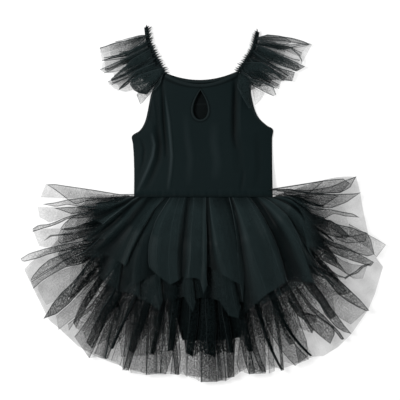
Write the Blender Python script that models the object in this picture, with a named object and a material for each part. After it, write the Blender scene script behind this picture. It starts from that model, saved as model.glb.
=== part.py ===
"""A child's leotard dress with a tutu skirt, laid flat on its back.

Run with: blender --background --python part.py

Frame: +Z up from the surface that the garment lies on, +Y towards the neck, +X to the right as seen from
above. The origin is the middle of the garment's footprint, on that surface. Sizes below are millimetres.
"""

from collections import namedtuple
from math import cos, hypot, pi, radians, sin

import bmesh
import bpy

MM = 0.001

# ---------------------------------------------------------------- driving sizes, in millimetres
KNIT_WALL = 1.2
BRIEF_WALL = 1.0
TULLE_WALL = 1.2
SEAM_GAP = 0.4
BAND_WALL = 1.0
BAND_GAP = 0.3

WAIST_Y = 11.0
WAIST_HALF = 131.0
FAN_HALF = 98.0  # degrees from straight down to the skirt's sides

STRAP_WIDTH = 9.0
STRAP_WALL = 1.2
HEADER_CREST = 9.0
HEADER_TROUGH = 5.0
HEADER_UPRIGHT = 0.35  # share up the strap where the header stands square to it
HEADER_TILT = 0.5

KEYHOLE_CENTRE = (-5.0, 176.4)
KEYHOLE_HALF_HEIGHT = 26.4
KEYHOLE_SWELL = 17.5
KEYHOLE_BAND = 3.8
KEYHOLE_CUT = 0.6  # the panel is cut back this far under the binding
KEYHOLE_SIDES = 28
KEYHOLE_SPREAD = 1.25  # how much faster the teardrop widens than it lengthens
KEYHOLE_BAND_LIFT = 0.2  # keeps the binding's straight sides clear of the panel's folds
CUTTER_LOW, CUTTER_HIGH = -10.0, 30.0

COLOURS = {
    "knit": ((0.012, 0.018, 0.019), 0.75),
    "trim": ((0.009, 0.013, 0.014), 0.7),
    "tulle": ((0.022, 0.030, 0.032), 0.85),
}

# ---------------------------------------------------------------- the bodice's cut
# One row for each line across the bodice, from waist to shoulder: its left and right ends. Both ends
# of row UNDERARM are the underarm points, and the last row ends at the outer corners of the strap seats.
Across = namedtuple("Across", "left_x left_y right_x right_y")
BODICE_ROWS = (
    Across(-124.4, 12.0, 124.8, 12.0),
    Across(-124.2, 30.0, 124.6, 31.0),
    Across(-124.2, 56.0, 124.2, 58.0),
    Across(-125.0, 84.0, 124.0, 90.0),
    Across(-126.6, 106.0, 124.0, 116.0),
    Across(-128.0, 120.6, 125.4, 132.0),
    Across(-113.9, 130.6, 109.4, 140.0),
    Across(-104.9, 145.8, 96.0, 152.6),
    Across(-100.2, 163.8, 88.2, 168.4),
    Across(-96.8, 181.8, 84.6, 188.0),
    Across(-93.0, 198.0, 83.0, 205.4),
    Across(-86.4, 213.0, 78.6, 219.4),
    Across(-80.0, 223.2, 73.2, 227.6),
    Across(-75.9, 230.0, 69.2, 233.4),
)
UNDERARM = 5
BODICE_COLUMNS = 30
BIND_SHARE = 0.018  # of the width across, taken by the armhole binding
SEAT_SHARE = 0.066  # of the top row's width, taken by each strap seat
SEAT_RISE = 3.4
FRONT_NECK_DROP = 17.4
BACK_NECK_DROP = 10.0
NECK_BEND_FROM = 7  # the rows above this one bend down towards the neckline
NECK_BEND_FULL = 12  # and from this one up they follow it
NECK_BEND_POWER = 1.3
BAND_COLUMNS = 2  # columns at each end of a row that belong to the armhole binding and the seat's corner

FLAT_FROM_Y = 101.0  # from here up the back lies on the surface
BACK_LIFT_MIDDLE = 4.0
BACK_LIFT_SIDE = 3.2
CROWN_WAIST = 7.6
CROWN_CHEST = 5.2
CROWN_NECK = 3.6
NECK_Y = 216.0
CROWN_POWER = 4  # the higher, the flatter the middle and the steeper the sides
FOLD_SIDE_POWER = 8
FOLD_END_POWER = 0.6

# A soft fold in the bodice front: its height (a groove is below 0), half its width, and its line.
Fold = namedtuple("Fold", "height half_width line")
BODICE_FOLDS = (
    Fold(-2.2, 6.0, ((54.0, 226.0), (54.5, 205.0), (53.0, 160.0), (52.5, 112.0), (59.0, 74.0))),
    Fold(-1.8, 5.0, ((-74.0, 224.0), (-69.5, 190.0), (-69.0, 146.0), (-65.0, 108.0))),
    Fold(2.0, 6.0, ((-66.5, 176.0), (-61.0, 130.0), (-57.5, 92.0), (-59.5, 56.0), (-67.0, 30.0))),
    Fold(2.4, 5.5, ((-95.0, 140.0), (-88.5, 104.0), (-95.0, 70.0), (-110.0, 38.0), (-119.0, 18.0))),
)

# ---------------------------------------------------------------- the leotard's brief
# One row for each line across it: its share of the way from the waist to the longest hem, and its half
# width as an angle of the skirt's fan.
Brief = namedtuple("Brief", "share half_angle")
BRIEF_ROWS = (
    Brief(0.0, 84.0),
    Brief(0.05, 78.0),
    Brief(0.14, 67.0),
    Brief(0.25, 53.0),
    Brief(0.31, 44.0),
    Brief(0.38, 30.0),
    Brief(0.52, 19.0),
    Brief(0.66, 13.0),
    Brief(0.775, 10.4),
)
BRIEF_COLUMNS = 14
BRIEF_TURN = 3.4  # degrees: the crotch lies a little to the right

# ---------------------------------------------------------------- the stack of layers under the waist
# Height above the surface of each layer's lowest points, at these shares of the way from the waist to
# the longest hem. The back halves come first, with the shortest tier on the surface.
SHARES = (0.0, 0.25, 0.66, 0.84, 1.0)
Level = namedtuple("Level", "base waist_height full_height")
LEVELS = {
    "tier_1_back": Level((0.0, 0.0, 0.0, 0.0, 0.0), 1.5, 3.0),
    "tier_2_back": Level((2.0, 3.6, 3.6, 3.6, 3.6), 1.5, 3.0),
    "tier_3_back": Level((4.0, 7.2, 7.2, 0.0, 0.0), 1.5, 4.5),
    "tier_4_back": Level((6.0, 12.3, 12.3, 5.8, 0.0), 1.5, 6.0),
    "brief_back": Level((8.1, 19.0, 19.0, 12.5, 6.7), 1.0, 1.0),
    "brief_front": Level((9.5, 20.8, 20.8, 14.3, 8.5), 1.0, 1.0),
    "tier_4_front": Level((11.0, 22.4, 22.4, 15.9, 10.1), 1.5, 7.0),
    "tier_3_front": Level((13.0, 30.0, 30.0, 23.5, 17.7), 1.5, 7.0),
    "tier_2_front": Level((15.0, 37.6, 37.6, 37.6, 37.6), 1.5, 7.0),
    "tier_1_front": Level((17.8, 45.2, 45.2, 45.2, 45.2), 1.5, 8.0),
}

# How far the longest hem reaches from the middle of the waist: at each angle from straight down, in
# degrees, positive to the right.
Reach = namedtuple("Reach", "angle reach")
OUTLINE = (
    Reach(-100.0, 280.0),
    Reach(-90.0, 290.0),
    Reach(-80.0, 312.0),
    Reach(-70.0, 345.0),
    Reach(-52.0, 360.0),
    Reach(-36.0, 355.0),
    Reach(-18.0, 337.0),
    Reach(0.0, 332.0),
    Reach(18.0, 335.0),
    Reach(36.0, 353.0),
    Reach(52.0, 362.0),
    Reach(68.0, 347.0),
    Reach(80.0, 308.0),
    Reach(90.0, 286.0),
    Reach(100.0, 275.0),
)

# One row for each pleat of a tier, from its left side to its right: the pleat's angle at the hem, the
# reach of its tip, and the reach of the hem in the valley after it.
Pleat = namedtuple("Pleat", "angle reach valley")
TIER_4_FRONT = (
    Pleat(-94.0, 270.0, 250.0),
    Pleat(-87.0, 290.0, 262.0),
    Pleat(-79.5, 310.0, 285.0),
    Pleat(-72.0, 338.0, 322.0),
    Pleat(-62.0, 346.0, 332.0),
    Pleat(-53.0, 363.0, 340.0),
    Pleat(-46.0, 350.0, 338.0),
    Pleat(-41.0, 352.0, 340.0),
    Pleat(-35.5, 356.0, 336.0),
    Pleat(-30.5, 340.0, 326.0),
    Pleat(-25.0, 345.0, 326.0),
    Pleat(-17.5, 337.0, 322.0),
    Pleat(-12.0, 324.0, 316.0),
    Pleat(-8.0, 326.0, 318.0),
    Pleat(-2.5, 328.0, 326.0),
    Pleat(3.0, 333.3, 324.0),
    Pleat(8.5, 330.0, 306.0),
    Pleat(16.0, 331.0, 322.0),
    Pleat(21.8, 328.0, 320.0),
    Pleat(25.0, 341.0, 328.0),
    Pleat(33.0, 345.0, 332.0),
    Pleat(41.0, 350.0, 344.0),
    Pleat(47.3, 361.0, 344.0),
    Pleat(55.6, 361.0, 326.0),
    Pleat(63.0, 330.0, 318.0),
    Pleat(70.0, 328.0, 312.0),
    Pleat(75.4, 336.0, 286.0),
    Pleat(84.0, 280.0, 272.0),
    Pleat(91.5, 280.0, 264.0),
    Pleat(97.0, 270.0, 270.0),
)
TIER_4_BACK = (
    Pleat(-93.5, 288.0, 258.0),
    Pleat(-84.5, 298.0, 270.0),
    Pleat(-76.5, 314.0, 304.0),
    Pleat(-70.5, 348.5, 345.0),
    Pleat(-62.0, 345.0, 347.0),
    Pleat(-54.0, 352.0, 351.0),
    Pleat(-46.0, 354.0, 354.0),
    Pleat(-38.0, 355.0, 348.0),
    Pleat(-30.0, 342.0, 336.0),
    Pleat(-23.0, 343.0, 336.0),
    Pleat(-15.0, 334.0, 328.0),
    Pleat(-9.0, 326.0, 322.0),
    Pleat(-3.0, 330.0, 330.0),
    Pleat(4.0, 333.2, 326.0),
    Pleat(10.5, 318.0, 313.0),
    Pleat(17.0, 333.0, 328.0),
    Pleat(25.0, 340.0, 341.0),
    Pleat(33.0, 346.0, 350.0),
    Pleat(41.0, 356.0, 358.0),
    Pleat(49.0, 361.0, 359.0),
    Pleat(57.0, 358.0, 352.0),
    Pleat(66.0, 348.5, 334.0),
    Pleat(75.5, 338.9, 303.0),
    Pleat(83.0, 292.0, 286.0),
    Pleat(91.0, 282.0, 274.0),
    Pleat(97.0, 277.0, 277.0),
)
TIER_3_FRONT = (
    Pleat(-93.0, 250.0, 246.0),
    Pleat(-85.0, 262.0, 252.0),
    Pleat(-77.0, 276.0, 260.0),
    Pleat(-69.0, 290.0, 272.0),
    Pleat(-61.0, 304.0, 286.0),
    Pleat(-53.0, 318.0, 296.0),
    Pleat(-45.0, 322.0, 306.0),
    Pleat(-36.0, 336.0, 312.0),
    Pleat(-28.0, 318.0, 304.0),
    Pleat(-21.5, 308.0, 290.0),
    Pleat(-15.0, 290.0, 284.0),
    Pleat(-7.0, 292.0, 282.0),
    Pleat(1.0, 298.0, 286.0),
    Pleat(9.0, 300.0, 284.0),
    Pleat(17.0, 300.0, 288.0),
    Pleat(25.0, 306.0, 292.0),
    Pleat(33.0, 310.0, 290.0),
    Pleat(41.0, 316.0, 298.0),
    Pleat(49.0, 320.0, 300.0),
    Pleat(58.0, 308.0, 288.0),
    Pleat(67.0, 292.0, 270.0),
    Pleat(76.0, 274.0, 256.0),
    Pleat(85.0, 258.0, 248.0),
    Pleat(94.0, 250.0, 246.0),
)
TIER_2_FRONT = (
    Pleat(-90.0, 206.0, 198.0),
    Pleat(-78.0, 222.0, 210.0),
    Pleat(-66.0, 236.0, 220.0),
    Pleat(-54.0, 236.0, 214.0),
    Pleat(-43.0, 226.0, 206.0),
    Pleat(-32.0, 212.0, 208.0),
    Pleat(-21.5, 217.0, 190.0),
    Pleat(-12.0, 188.0, 184.0),
    Pleat(-4.5, 206.0, 180.0),
    Pleat(3.0, 184.0, 180.0),
    Pleat(11.5, 210.0, 212.0),
    Pleat(17.5, 222.0, 212.0),
    Pleat(28.0, 214.0, 200.0),
    Pleat(38.0, 222.0, 206.0),
    Pleat(50.0, 234.0, 214.0),
    Pleat(63.0, 238.0, 216.0),
    Pleat(77.0, 222.0, 206.0),
    Pleat(90.0, 204.0, 198.0),
)
TIER_1_FRONT = (
    Pleat(-88.0, 182.0, 176.0),
    Pleat(-79.0, 196.0, 188.0),
    Pleat(-69.0, 206.0, 196.0),
    Pleat(-60.0, 206.0, 192.0),
    Pleat(-48.6, 187.0, 172.0),
    Pleat(-38.5, 207.0, 162.0),
    Pleat(-29.0, 164.0, 162.0),
    Pleat(-20.0, 168.0, 156.0),
    Pleat(-12.0, 181.0, 150.0),
    Pleat(-5.5, 150.0, 152.0),
    Pleat(0.5, 171.0, 126.0),
    Pleat(12.0, 150.0, 162.0),
    Pleat(22.5, 177.0, 152.0),
    Pleat(32.0, 186.0, 184.0),
    Pleat(43.0, 209.0, 200.0),
    Pleat(56.0, 216.0, 202.0),
    Pleat(68.0, 208.0, 196.0),
    Pleat(79.0, 196.0, 186.0),
    Pleat(88.0, 180.0, 178.0),
)
# The back of a tier that is hidden is cut plainly: even pleats, all to one share of the longest hem.
Plain = namedtuple("Plain", "pleats share")
PLAIN_BACKS = {
    "tier_1_back": Plain(9, 0.44),
    "tier_2_back": Plain(10, 0.58),
    "tier_3_back": Plain(16, 0.81),
}
PLAIN_HALF_FAN = 91.0
PLAIN_NOTCH = 0.015  # how much less a valley reaches

# A tier's wall has a row of points at each of these shares that it reaches, and one along its hem.
TIER_ROWS = (0.0, 0.05, 0.14, 0.25, 0.45, 0.66, 0.84)
LEAST_LAST_ROW = 0.02
# A narrow pleat stands lower than a wide one: between these shares of its layer's height, from no width
# to this many degrees for a pleat and its neighbour.
LEAST_CREST = 0.4
WIDE_PLEATS = 17.0
PLEAT_BOW = 0.33  # how strongly a side pleat bows upward towards its hem
# Beside the bodice's corners the skirt's side edge stands up a little.
SHOULDER_FROM = 94.0  # degrees
SHOULDER_RISE = 9.0
SHOULDER_SHARE = 0.05  # where it is highest
LONGEST_SHARE = 1.2  # no hem reaches beyond this
HALVINGS = 24

# ---------------------------------------------------------------- the straps and their frills
# Each strap is folded flat at the shoulder. Its frill has one row for each pleat, from the bodice up:
# where its tip lies, and where the hem lies in the valley after it.
Tip = namedtuple("Tip", "x y valley_x valley_y")
Sleeve = namedtuple("Sleeve", "foot top tips")
SLEEVES = {
    "left": Sleeve(
        foot=(-71.2, 231.9),
        top=(-102.6, 315.0),
        tips=(
            Tip(-99.0, 188.0, -104.0, 189.0),
            Tip(-113.3, 176.4, -119.0, 192.0),
            Tip(-128.0, 196.0, -134.0, 203.0),
            Tip(-141.0, 199.0, -146.0, 206.0),
            Tip(-154.4, 200.7, -157.0, 211.0),
            Tip(-166.0, 211.0, -165.0, 222.0),
            Tip(-175.5, 222.0, -172.0, 232.0),
            Tip(-185.3, 238.0, -177.0, 247.0),
            Tip(-188.5, 259.0, -184.0, 266.0),
            Tip(-186.4, 277.7, -186.4, 277.7),
        ),
    ),
    "right": Sleeve(
        foot=(65.0, 235.2),
        top=(97.4, 306.6),
        tips=(
            Tip(87.0, 193.0, 90.0, 188.0),
            Tip(95.0, 176.0, 103.0, 190.0),
            Tip(113.0, 195.0, 119.0, 199.0),
            Tip(128.3, 191.7, 127.0, 201.0),
            Tip(134.6, 204.7, 141.0, 216.0),
            Tip(158.0, 217.8, 158.0, 228.0),
            Tip(167.0, 235.0, 171.0, 240.0),
            Tip(184.2, 244.8, 178.0, 256.0),
            Tip(186.0, 266.0, 187.0, 276.0),
            Tip(195.8, 285.3, 195.8, 285.3),
        ),
    ),
}
BACK_FRILL_SHARE = 0.96  # of the front frill's reach
BACK_FRILL_START = 0.28  # share up the strap
BACK_FRILL_FIRST = 2  # it leaves out the two lowest leaves
FRILL_STEPS = (0.0, 0.18, 0.45, 0.72, 1.0)
FRILL_TOP_BULGE = 0.025
FRILL_TOP = 0.9  # share up the strap where the wide frill ends; the header goes to the top
Frill = namedtuple("Frill", "root_base hem_base header_height root_height hem_height")
FRONT_FRILL = Frill(6.1, 4.6, 3.4, 1.8, 7.0)
BACK_FRILL = Frill(0.0, 0.0, 2.0, 1.7, 4.0)
FRILL_CLEAR = 0.6  # above the bodice, where a leaf lies on it
STRAP_BACK_Z = 2.1
STRAP_FRONT_Z = 4.5
STRAP_SETTLES = 0.22  # share of the strap over which it comes down to the bodice
STRAP_STEPS = 8
STRAP_FOLD_TURNS = (-60.0, -30.0, 0.0, 30.0, 60.0)  # degrees round the fold at the shoulder


# ---------------------------------------------------------------- small helpers
def mix(a, b, share):
    return a + (b - a) * share


def smooth(share):
    share = min(1.0, max(0.0, share))
    return share * share * (3.0 - 2.0 * share)


def between(stops, values, at):
    """The value at a place along rising stops, straight from one to the next."""
    if at <= stops[0]:
        return values[0]
    for i in range(1, len(stops)):
        if at <= stops[i]:
            return mix(values[i - 1], values[i], (at - stops[i - 1]) / (stops[i] - stops[i - 1]))
    return values[-1]


def material(kind):
    found = bpy.data.materials.get(kind)
    if found:
        return found
    colour, roughness = COLOURS[kind]
    made = bpy.data.materials.new(kind)
    made.use_nodes = True
    shader = made.node_tree.nodes["Principled BSDF"]
    shader.inputs["Base Color"].default_value = (*colour, 1.0)
    shader.inputs["Roughness"].default_value = roughness
    shader.inputs["Metallic"].default_value = 0.0
    return made


def finish(name, bm, kind):
    bmesh.ops.scale(bm, vec=(MM, MM, MM), verts=bm.verts)
    bmesh.ops.recalc_face_normals(bm, faces=bm.faces)
    mesh = bpy.data.meshes.new(name)
    bm.to_mesh(mesh)
    bm.free()
    mesh.materials.append(material(kind))
    mesh.shade_smooth()
    mesh.set_sharp_from_angle(angle=radians(40.0))
    obj = bpy.data.objects.new(name, mesh)
    bpy.context.scene.collection.objects.link(obj)
    return obj


def wall(name, under, over, kind, ring=False):
    """A closed wall between two grids of points, each a list of rows. A ring's rows close on themselves."""
    bm = bmesh.new()
    low = [[bm.verts.new(point) for point in row] for row in under]
    high = [[bm.verts.new(point) for point in row] for row in over]
    rows, columns = len(low), len(low[0])
    spans = columns if ring else columns - 1
    for i in range(rows - 1):
        for j in range(spans):
            k = (j + 1) % columns
            for grid in (low, high):
                a, b, c, d = grid[i][j], grid[i][k], grid[i + 1][k], grid[i + 1][j]
                bm.faces.new((a, b, c))
                bm.faces.new((a, c, d))
    for i in (0, rows - 1):
        for j in range(spans):
            k = (j + 1) % columns
            bm.faces.new((low[i][j], low[i][k], high[i][k], high[i][j]))
    if not ring:
        for j in (0, columns - 1):
            for i in range(rows - 1):
                bm.faces.new((low[i][j], low[i + 1][j], high[i + 1][j], high[i][j]))
    return finish(name, bm, kind)


def raised(grid, height):
    return [[(x, y, z + height) for x, y, z in row] for row in grid]


# ---------------------------------------------------------------- the bodice
def neck_bend(share, drop):
    """How far the top row lies above the straight line between its ends: up the strap seats, then down."""
    seat = min(share, 1.0 - share)
    if seat < SEAT_SHARE:
        return SEAT_RISE * seat / SEAT_SHARE
    side = (share - 0.5) / (0.5 - SEAT_SHARE)
    return SEAT_RISE - (SEAT_RISE + drop) * (1.0 - side * side)


def bodice_columns():
    """Shares across the bodice, with a column on each edge of the armhole bindings and strap seats."""
    inner = [mix(SEAT_SHARE, 1.0 - SEAT_SHARE, i / (BODICE_COLUMNS - 4)) for i in range(BODICE_COLUMNS - 3)]
    return [0.0, BIND_SHARE, *inner, 1.0 - BIND_SHARE, 1.0]


def bodice_plan(drop):
    """The bodice's grid of places, each (x, y, share across), from waist to shoulder."""
    grid = []
    for i, row in enumerate(BODICE_ROWS):
        bend = min(1.0, max(0.0, (i - NECK_BEND_FROM) / (NECK_BEND_FULL - NECK_BEND_FROM)))
        bend = bend**NECK_BEND_POWER
        places = []
        for share in bodice_columns():
            x = mix(row.left_x, row.right_x, share)
            y = mix(row.left_y, row.right_y, share) + bend * neck_bend(share, drop)
            places.append((x, y, share))
        grid.append(places)
    return grid


def back_z(y, share):
    """Underside of the bodice back: on the surface at the chest, lifted by the skirt at the waist."""
    side = abs(2.0 * share - 1.0)
    lift = 1.0 - smooth((y - WAIST_Y) / (FLAT_FROM_Y - WAIST_Y))
    return lift * (BACK_LIFT_MIDDLE + BACK_LIFT_SIDE * side**CROWN_POWER)


def fold_height(x, y):
    total = 0.0
    for fold in BODICE_FOLDS:
        ys = [p[1] for p in reversed(fold.line)]
        xs = [p[0] for p in reversed(fold.line)]
        length = ys[-1] - ys[0]
        along = (y - ys[0]) / length
        if 0.0 < along < 1.0:
            aside = (x - between(ys, xs, y)) / fold.half_width
            total += fold.height * sin(pi * along) ** FOLD_END_POWER * max(0.0, 1.0 - aside * aside) ** 2
    return total


def front_z(x, y, share):
    """Underside of the bodice front: shut on the back at the side seams and crowned between them."""
    side = abs(2.0 * share - 1.0)
    crown = between((WAIST_Y, FLAT_FROM_Y, NECK_Y), (CROWN_WAIST, CROWN_CHEST, CROWN_NECK), y)
    room = SEAM_GAP + (1.0 - side**CROWN_POWER) * crown
    return back_z(y, share) + KNIT_WALL + room + fold_height(x, y) * (1.0 - side**FOLD_SIDE_POWER)


def placed_front(plan):
    return [[(x, y, front_z(x, y, share)) for x, y, share in row] for row in plan]


def teardrop(widen):
    """The keyhole's outline, from its tip round: widen moves it outward."""
    swell = KEYHOLE_SWELL + KEYHOLE_SPREAD * widen
    half_height = KEYHOLE_HALF_HEIGHT + widen
    points = []
    for i in range(KEYHOLE_SIDES):
        turn = 2.0 * pi * i / KEYHOLE_SIDES
        x = KEYHOLE_CENTRE[0] + swell * sin(turn) * sin(turn / 2.0)
        y = KEYHOLE_CENTRE[1] + half_height * cos(turn)
        points.append((x, y))
    return points


def keyhole_cutter():
    """A prism through the front, larger than the opening by the part of the band that turns inward."""
    outline = teardrop(KEYHOLE_CUT)
    bm = bmesh.new()
    low = [bm.verts.new((x, y, CUTTER_LOW)) for x, y in outline]
    high = [bm.verts.new((x, y, CUTTER_HIGH)) for x, y in outline]
    bm.faces.new(low)
    bm.faces.new(high)
    for i in range(KEYHOLE_SIDES):
        k = (i + 1) % KEYHOLE_SIDES
        bm.faces.new((low[i], low[k], high[k], high[i]))
    cutter = finish("keyhole_cutter", bm, "knit")
    cutter.hide_render = True
    cutter.display_type = "WIRE"
    return cutter


def make_bodice():
    back_plan = bodice_plan(BACK_NECK_DROP)
    front_plan = bodice_plan(FRONT_NECK_DROP)
    ends = BAND_COLUMNS
    every_other = [row[:ends] + row[ends:-ends:2] + row[-ends:] for row in back_plan]
    back = [[(x, y, back_z(y, share)) for x, y, share in row] for row in every_other]
    wall("bodice_back", back, raised(back, KNIT_WALL), "knit")
    front = placed_front(front_plan)
    panel = wall("bodice_front", front, raised(front, KNIT_WALL), "knit")
    cut = panel.modifiers.new("keyhole", "BOOLEAN")
    cut.object = keyhole_cutter()
    cut.operation = "DIFFERENCE"
    cut.solver = "EXACT"
    make_bands(front, back)
    make_keyhole_band()


def band(name, grid):
    """A binding that lies on a panel: the panel's own points, moved out."""
    under = raised(grid, KNIT_WALL + BAND_GAP)
    wall(name, under, raised(under, BAND_WALL), "trim")


def make_bands(front, back):
    between_seats = slice(BAND_COLUMNS, -BAND_COLUMNS)
    band("neck_binding_front", [row[between_seats] for row in front[-2:]])
    band("neck_binding_back", [row[between_seats] for row in back[-2:]])
    band("armhole_binding_left", [row[:BAND_COLUMNS] for row in front[UNDERARM:-1]])
    band("armhole_binding_right", [row[-BAND_COLUMNS:] for row in front[UNDERARM:-1]])


def bodice_share(x, y):
    """The share across the bodice of a place inside it."""
    heights = [mix(row.left_y, row.right_y, 0.5) for row in BODICE_ROWS]
    left = between(heights, [row.left_x for row in BODICE_ROWS], y)
    right = between(heights, [row.right_x for row in BODICE_ROWS], y)
    return (x - left) / (right - left)


def bodice_top(x, y):
    """Height of the top of the bodice and its bindings at a place, or 0 clear of the bodice."""
    share = bodice_share(x, y)
    if not 0.0 < share < 1.0 or y > BODICE_ROWS[-1].right_y + SEAT_RISE:
        return 0.0
    return front_z(x, y, share) + KNIT_WALL + BAND_GAP + BAND_WALL


def make_keyhole_band():
    rings = []
    for widen in (0.0, KEYHOLE_BAND):
        ring = []
        for x, y in teardrop(widen):
            z = front_z(x, y, bodice_share(x, y)) + KNIT_WALL + BAND_GAP + KEYHOLE_BAND_LIFT
            ring.append((x, y, z))
        rings.append(ring)
    wall("keyhole_binding", rings, raised(rings, BAND_WALL), "trim", ring=True)


# ---------------------------------------------------------------- the skirt and the brief
def fan(angle, share):
    """A place in the skirt's fan: share of the way from the waist to the longest hem, at an angle there."""
    turn = radians(angle)
    reach = between([row.angle for row in OUTLINE], [row.reach for row in OUTLINE], angle)
    start = (WAIST_HALF * angle / FAN_HALF, WAIST_Y)
    run = (reach * sin(turn) - start[0], -reach * cos(turn))
    bow = share * share * (1.0 - share) * PLEAT_BOW * sin(turn)
    beyond = max(0.0, (abs(angle) - SHOULDER_FROM) / (FAN_HALF - SHOULDER_FROM))
    shoulder = beyond * SHOULDER_RISE * min(share / SHOULDER_SHARE, (1.0 - share) / (1.0 - SHOULDER_SHARE))
    return start[0] + run[0] * share - run[1] * bow, start[1] + run[1] * share + run[0] * bow + shoulder


def share_of_reach(angle, reach):
    """The share at which the fan's line at this angle is this far from the middle of the waist."""
    low, high = 0.0, LONGEST_SHARE
    for _ in range(HALVINGS):
        share = (low + high) / 2.0
        x, y = fan(angle, share)
        low, high = (share, high) if hypot(x, y - WAIST_Y) < reach else (low, share)
    return high


def level_at(name, share):
    """The base and the height of a layer."""
    level = LEVELS[name]
    base = between(SHARES, level.base, share)
    height = between(SHARES[:2], (level.waist_height, level.full_height), share)
    return base, height


def pleat_columns(pleats):
    """Each column of a tier as (angle, share at its hem, height of its crest, which is 0 in a valley)."""
    columns = []
    for i, pleat in enumerate(pleats):
        width = pleats[min(i + 1, len(pleats) - 1)].angle - pleats[max(i - 1, 0)].angle
        crest = min(1.0, mix(LEAST_CREST, 1.0, width / WIDE_PLEATS))
        columns.append((pleat.angle, share_of_reach(pleat.angle, pleat.reach), crest))
        if i < len(pleats) - 1:
            angle = mix(pleat.angle, pleats[i + 1].angle, 0.5)
            columns.append((angle, share_of_reach(angle, pleat.valley), 0.0))
    return columns


def plain_columns(plain):
    columns = []
    last = 2 * plain.pleats - 2
    for i in range(last + 1):
        crest = 1.0 - i % 2
        angle = mix(-PLAIN_HALF_FAN, PLAIN_HALF_FAN, i / last)
        columns.append((angle, plain.share - PLAIN_NOTCH * (1.0 - crest), crest))
    return columns


def make_tier(name, columns, flat_under=False):
    shortest = min(hem for _, hem, _ in columns)
    rows = [share for share in TIER_ROWS if share < shortest - LEAST_LAST_ROW]
    under, over = [], []
    for i in range(len(rows) + 1):
        low, high = [], []
        for angle, hem, crest in columns:
            share = rows[i] if i < len(rows) else hem
            x, y = fan(angle, share)
            base, height = level_at(name, share)
            rise = crest * (height - TULLE_WALL)
            low.append((x, y, base if flat_under else base + rise))
            high.append((x, y, base + rise + TULLE_WALL))
        under.append(low)
        over.append(high)
    wall(name, under, over, "tulle")


def make_skirt():
    make_tier("tier_4_front", pleat_columns(TIER_4_FRONT))
    make_tier("tier_4_back", pleat_columns(TIER_4_BACK))
    make_tier("tier_3_front", pleat_columns(TIER_3_FRONT))
    make_tier("tier_2_front", pleat_columns(TIER_2_FRONT))
    make_tier("tier_1_front", pleat_columns(TIER_1_FRONT))
    for name, plain in PLAIN_BACKS.items():
        make_tier(name, plain_columns(plain), flat_under=name == "tier_1_back")


def make_brief():
    for name in ("brief_back", "brief_front"):
        under = []
        for row in BRIEF_ROWS:
            middle = BRIEF_TURN * row.share / BRIEF_ROWS[-1].share
            places = []
            for j in range(BRIEF_COLUMNS + 1):
                angle = middle * (1.0 - row.half_angle / FAN_HALF)
                angle += row.half_angle * mix(-1.0, 1.0, j / BRIEF_COLUMNS)
                places.append((*fan(angle, row.share), level_at(name, row.share)[0]))
            under.append(places)
        wall(name, under, raised(under, BRIEF_WALL), "knit")


# ---------------------------------------------------------------- the straps and their frills
def strap_line(sleeve):
    """The strap's foot, its run, its unit direction, and the unit normal towards the neck."""
    run = (sleeve.top[0] - sleeve.foot[0], sleeve.top[1] - sleeve.foot[1])
    length = hypot(*run)
    along = (run[0] / length, run[1] / length)
    inward = (along[1], -along[0]) if sleeve.foot[0] < 0 else (-along[1], along[0])
    return sleeve.foot, run, along, inward


def make_strap(side, sleeve):
    """A tape folded flat at the shoulder: its back run, the fold, then its front run."""
    foot, run, _, inward = strap_line(sleeve)
    middle = (STRAP_BACK_Z + STRAP_FRONT_Z + STRAP_WALL) / 2.0
    outer_half = (STRAP_FRONT_Z + STRAP_WALL - STRAP_BACK_Z) / 2.0
    path = []
    for i in range(STRAP_STEPS + 1):
        share = i / STRAP_STEPS
        lift = smooth(share / STRAP_SETTLES)
        path.append((share, mix(0.0, STRAP_BACK_Z, lift), mix(KNIT_WALL, STRAP_BACK_Z + STRAP_WALL, lift)))
    fold = []
    for turn in STRAP_FOLD_TURNS:
        reach = 1.0 + outer_half * cos(radians(turn)) / hypot(*run)
        inner = 1.0 + (outer_half - STRAP_WALL) * cos(radians(turn)) / hypot(*run)
        fold.append((reach, middle + outer_half * sin(radians(turn)),
                     inner, middle + (outer_half - STRAP_WALL) * sin(radians(turn))))
    outer = [(share, low) for share, low, _ in path] + [(f[0], f[1]) for f in fold]
    inner = [(share, high) for share, _, high in path] + [(f[2], f[3]) for f in fold]
    front_foot = KNIT_WALL + SEAM_GAP
    for share, _, _ in reversed(path):
        lift = smooth(share / STRAP_SETTLES)
        outer.append((share, mix(front_foot + KNIT_WALL, STRAP_FRONT_Z + STRAP_WALL, lift)))
        inner.append((share, mix(front_foot, STRAP_FRONT_Z, lift)))
    clear = SEAM_GAP / hypot(*run)
    grids = []
    for line in (outer, inner):
        grid = []
        for share, z in line:
            x, y = foot[0] + run[0] * (share + clear), foot[1] + run[1] * (share + clear)
            half = STRAP_WIDTH / 2.0
            grid.append([(x + inward[0] * s * half, y + inward[1] * s * half, z) for s in (-1.0, 1.0)])
        grids.append(grid)
    wall("strap_" + side, grids[0], grids[1], "trim")


def frill_columns(sleeve, first, share_of_hem, start):
    """Columns of a frill, from the bodice up: (share up the strap, hem x, hem y, 1 on a crest)."""
    places = []
    tips = sleeve.tips[first:]
    for i, tip in enumerate(tips):
        places.append((tip.x, tip.y, 1.0))
        if i < len(tips) - 1:
            places.append((tip.valley_x, tip.valley_y, 0.0))
    columns = []
    for i, (x, y, crest) in enumerate(places):
        share = mix(start, FRILL_TOP, i / (len(places) - 1))
        root_x, root_y = mix(sleeve.foot[0], sleeve.top[0], share), mix(sleeve.foot[1], sleeve.top[1], share)
        hem = (mix(root_x, x, share_of_hem), mix(root_y, y, share_of_hem))
        columns.append((share, root_x, root_y, *hem, crest))
    return columns


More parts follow.
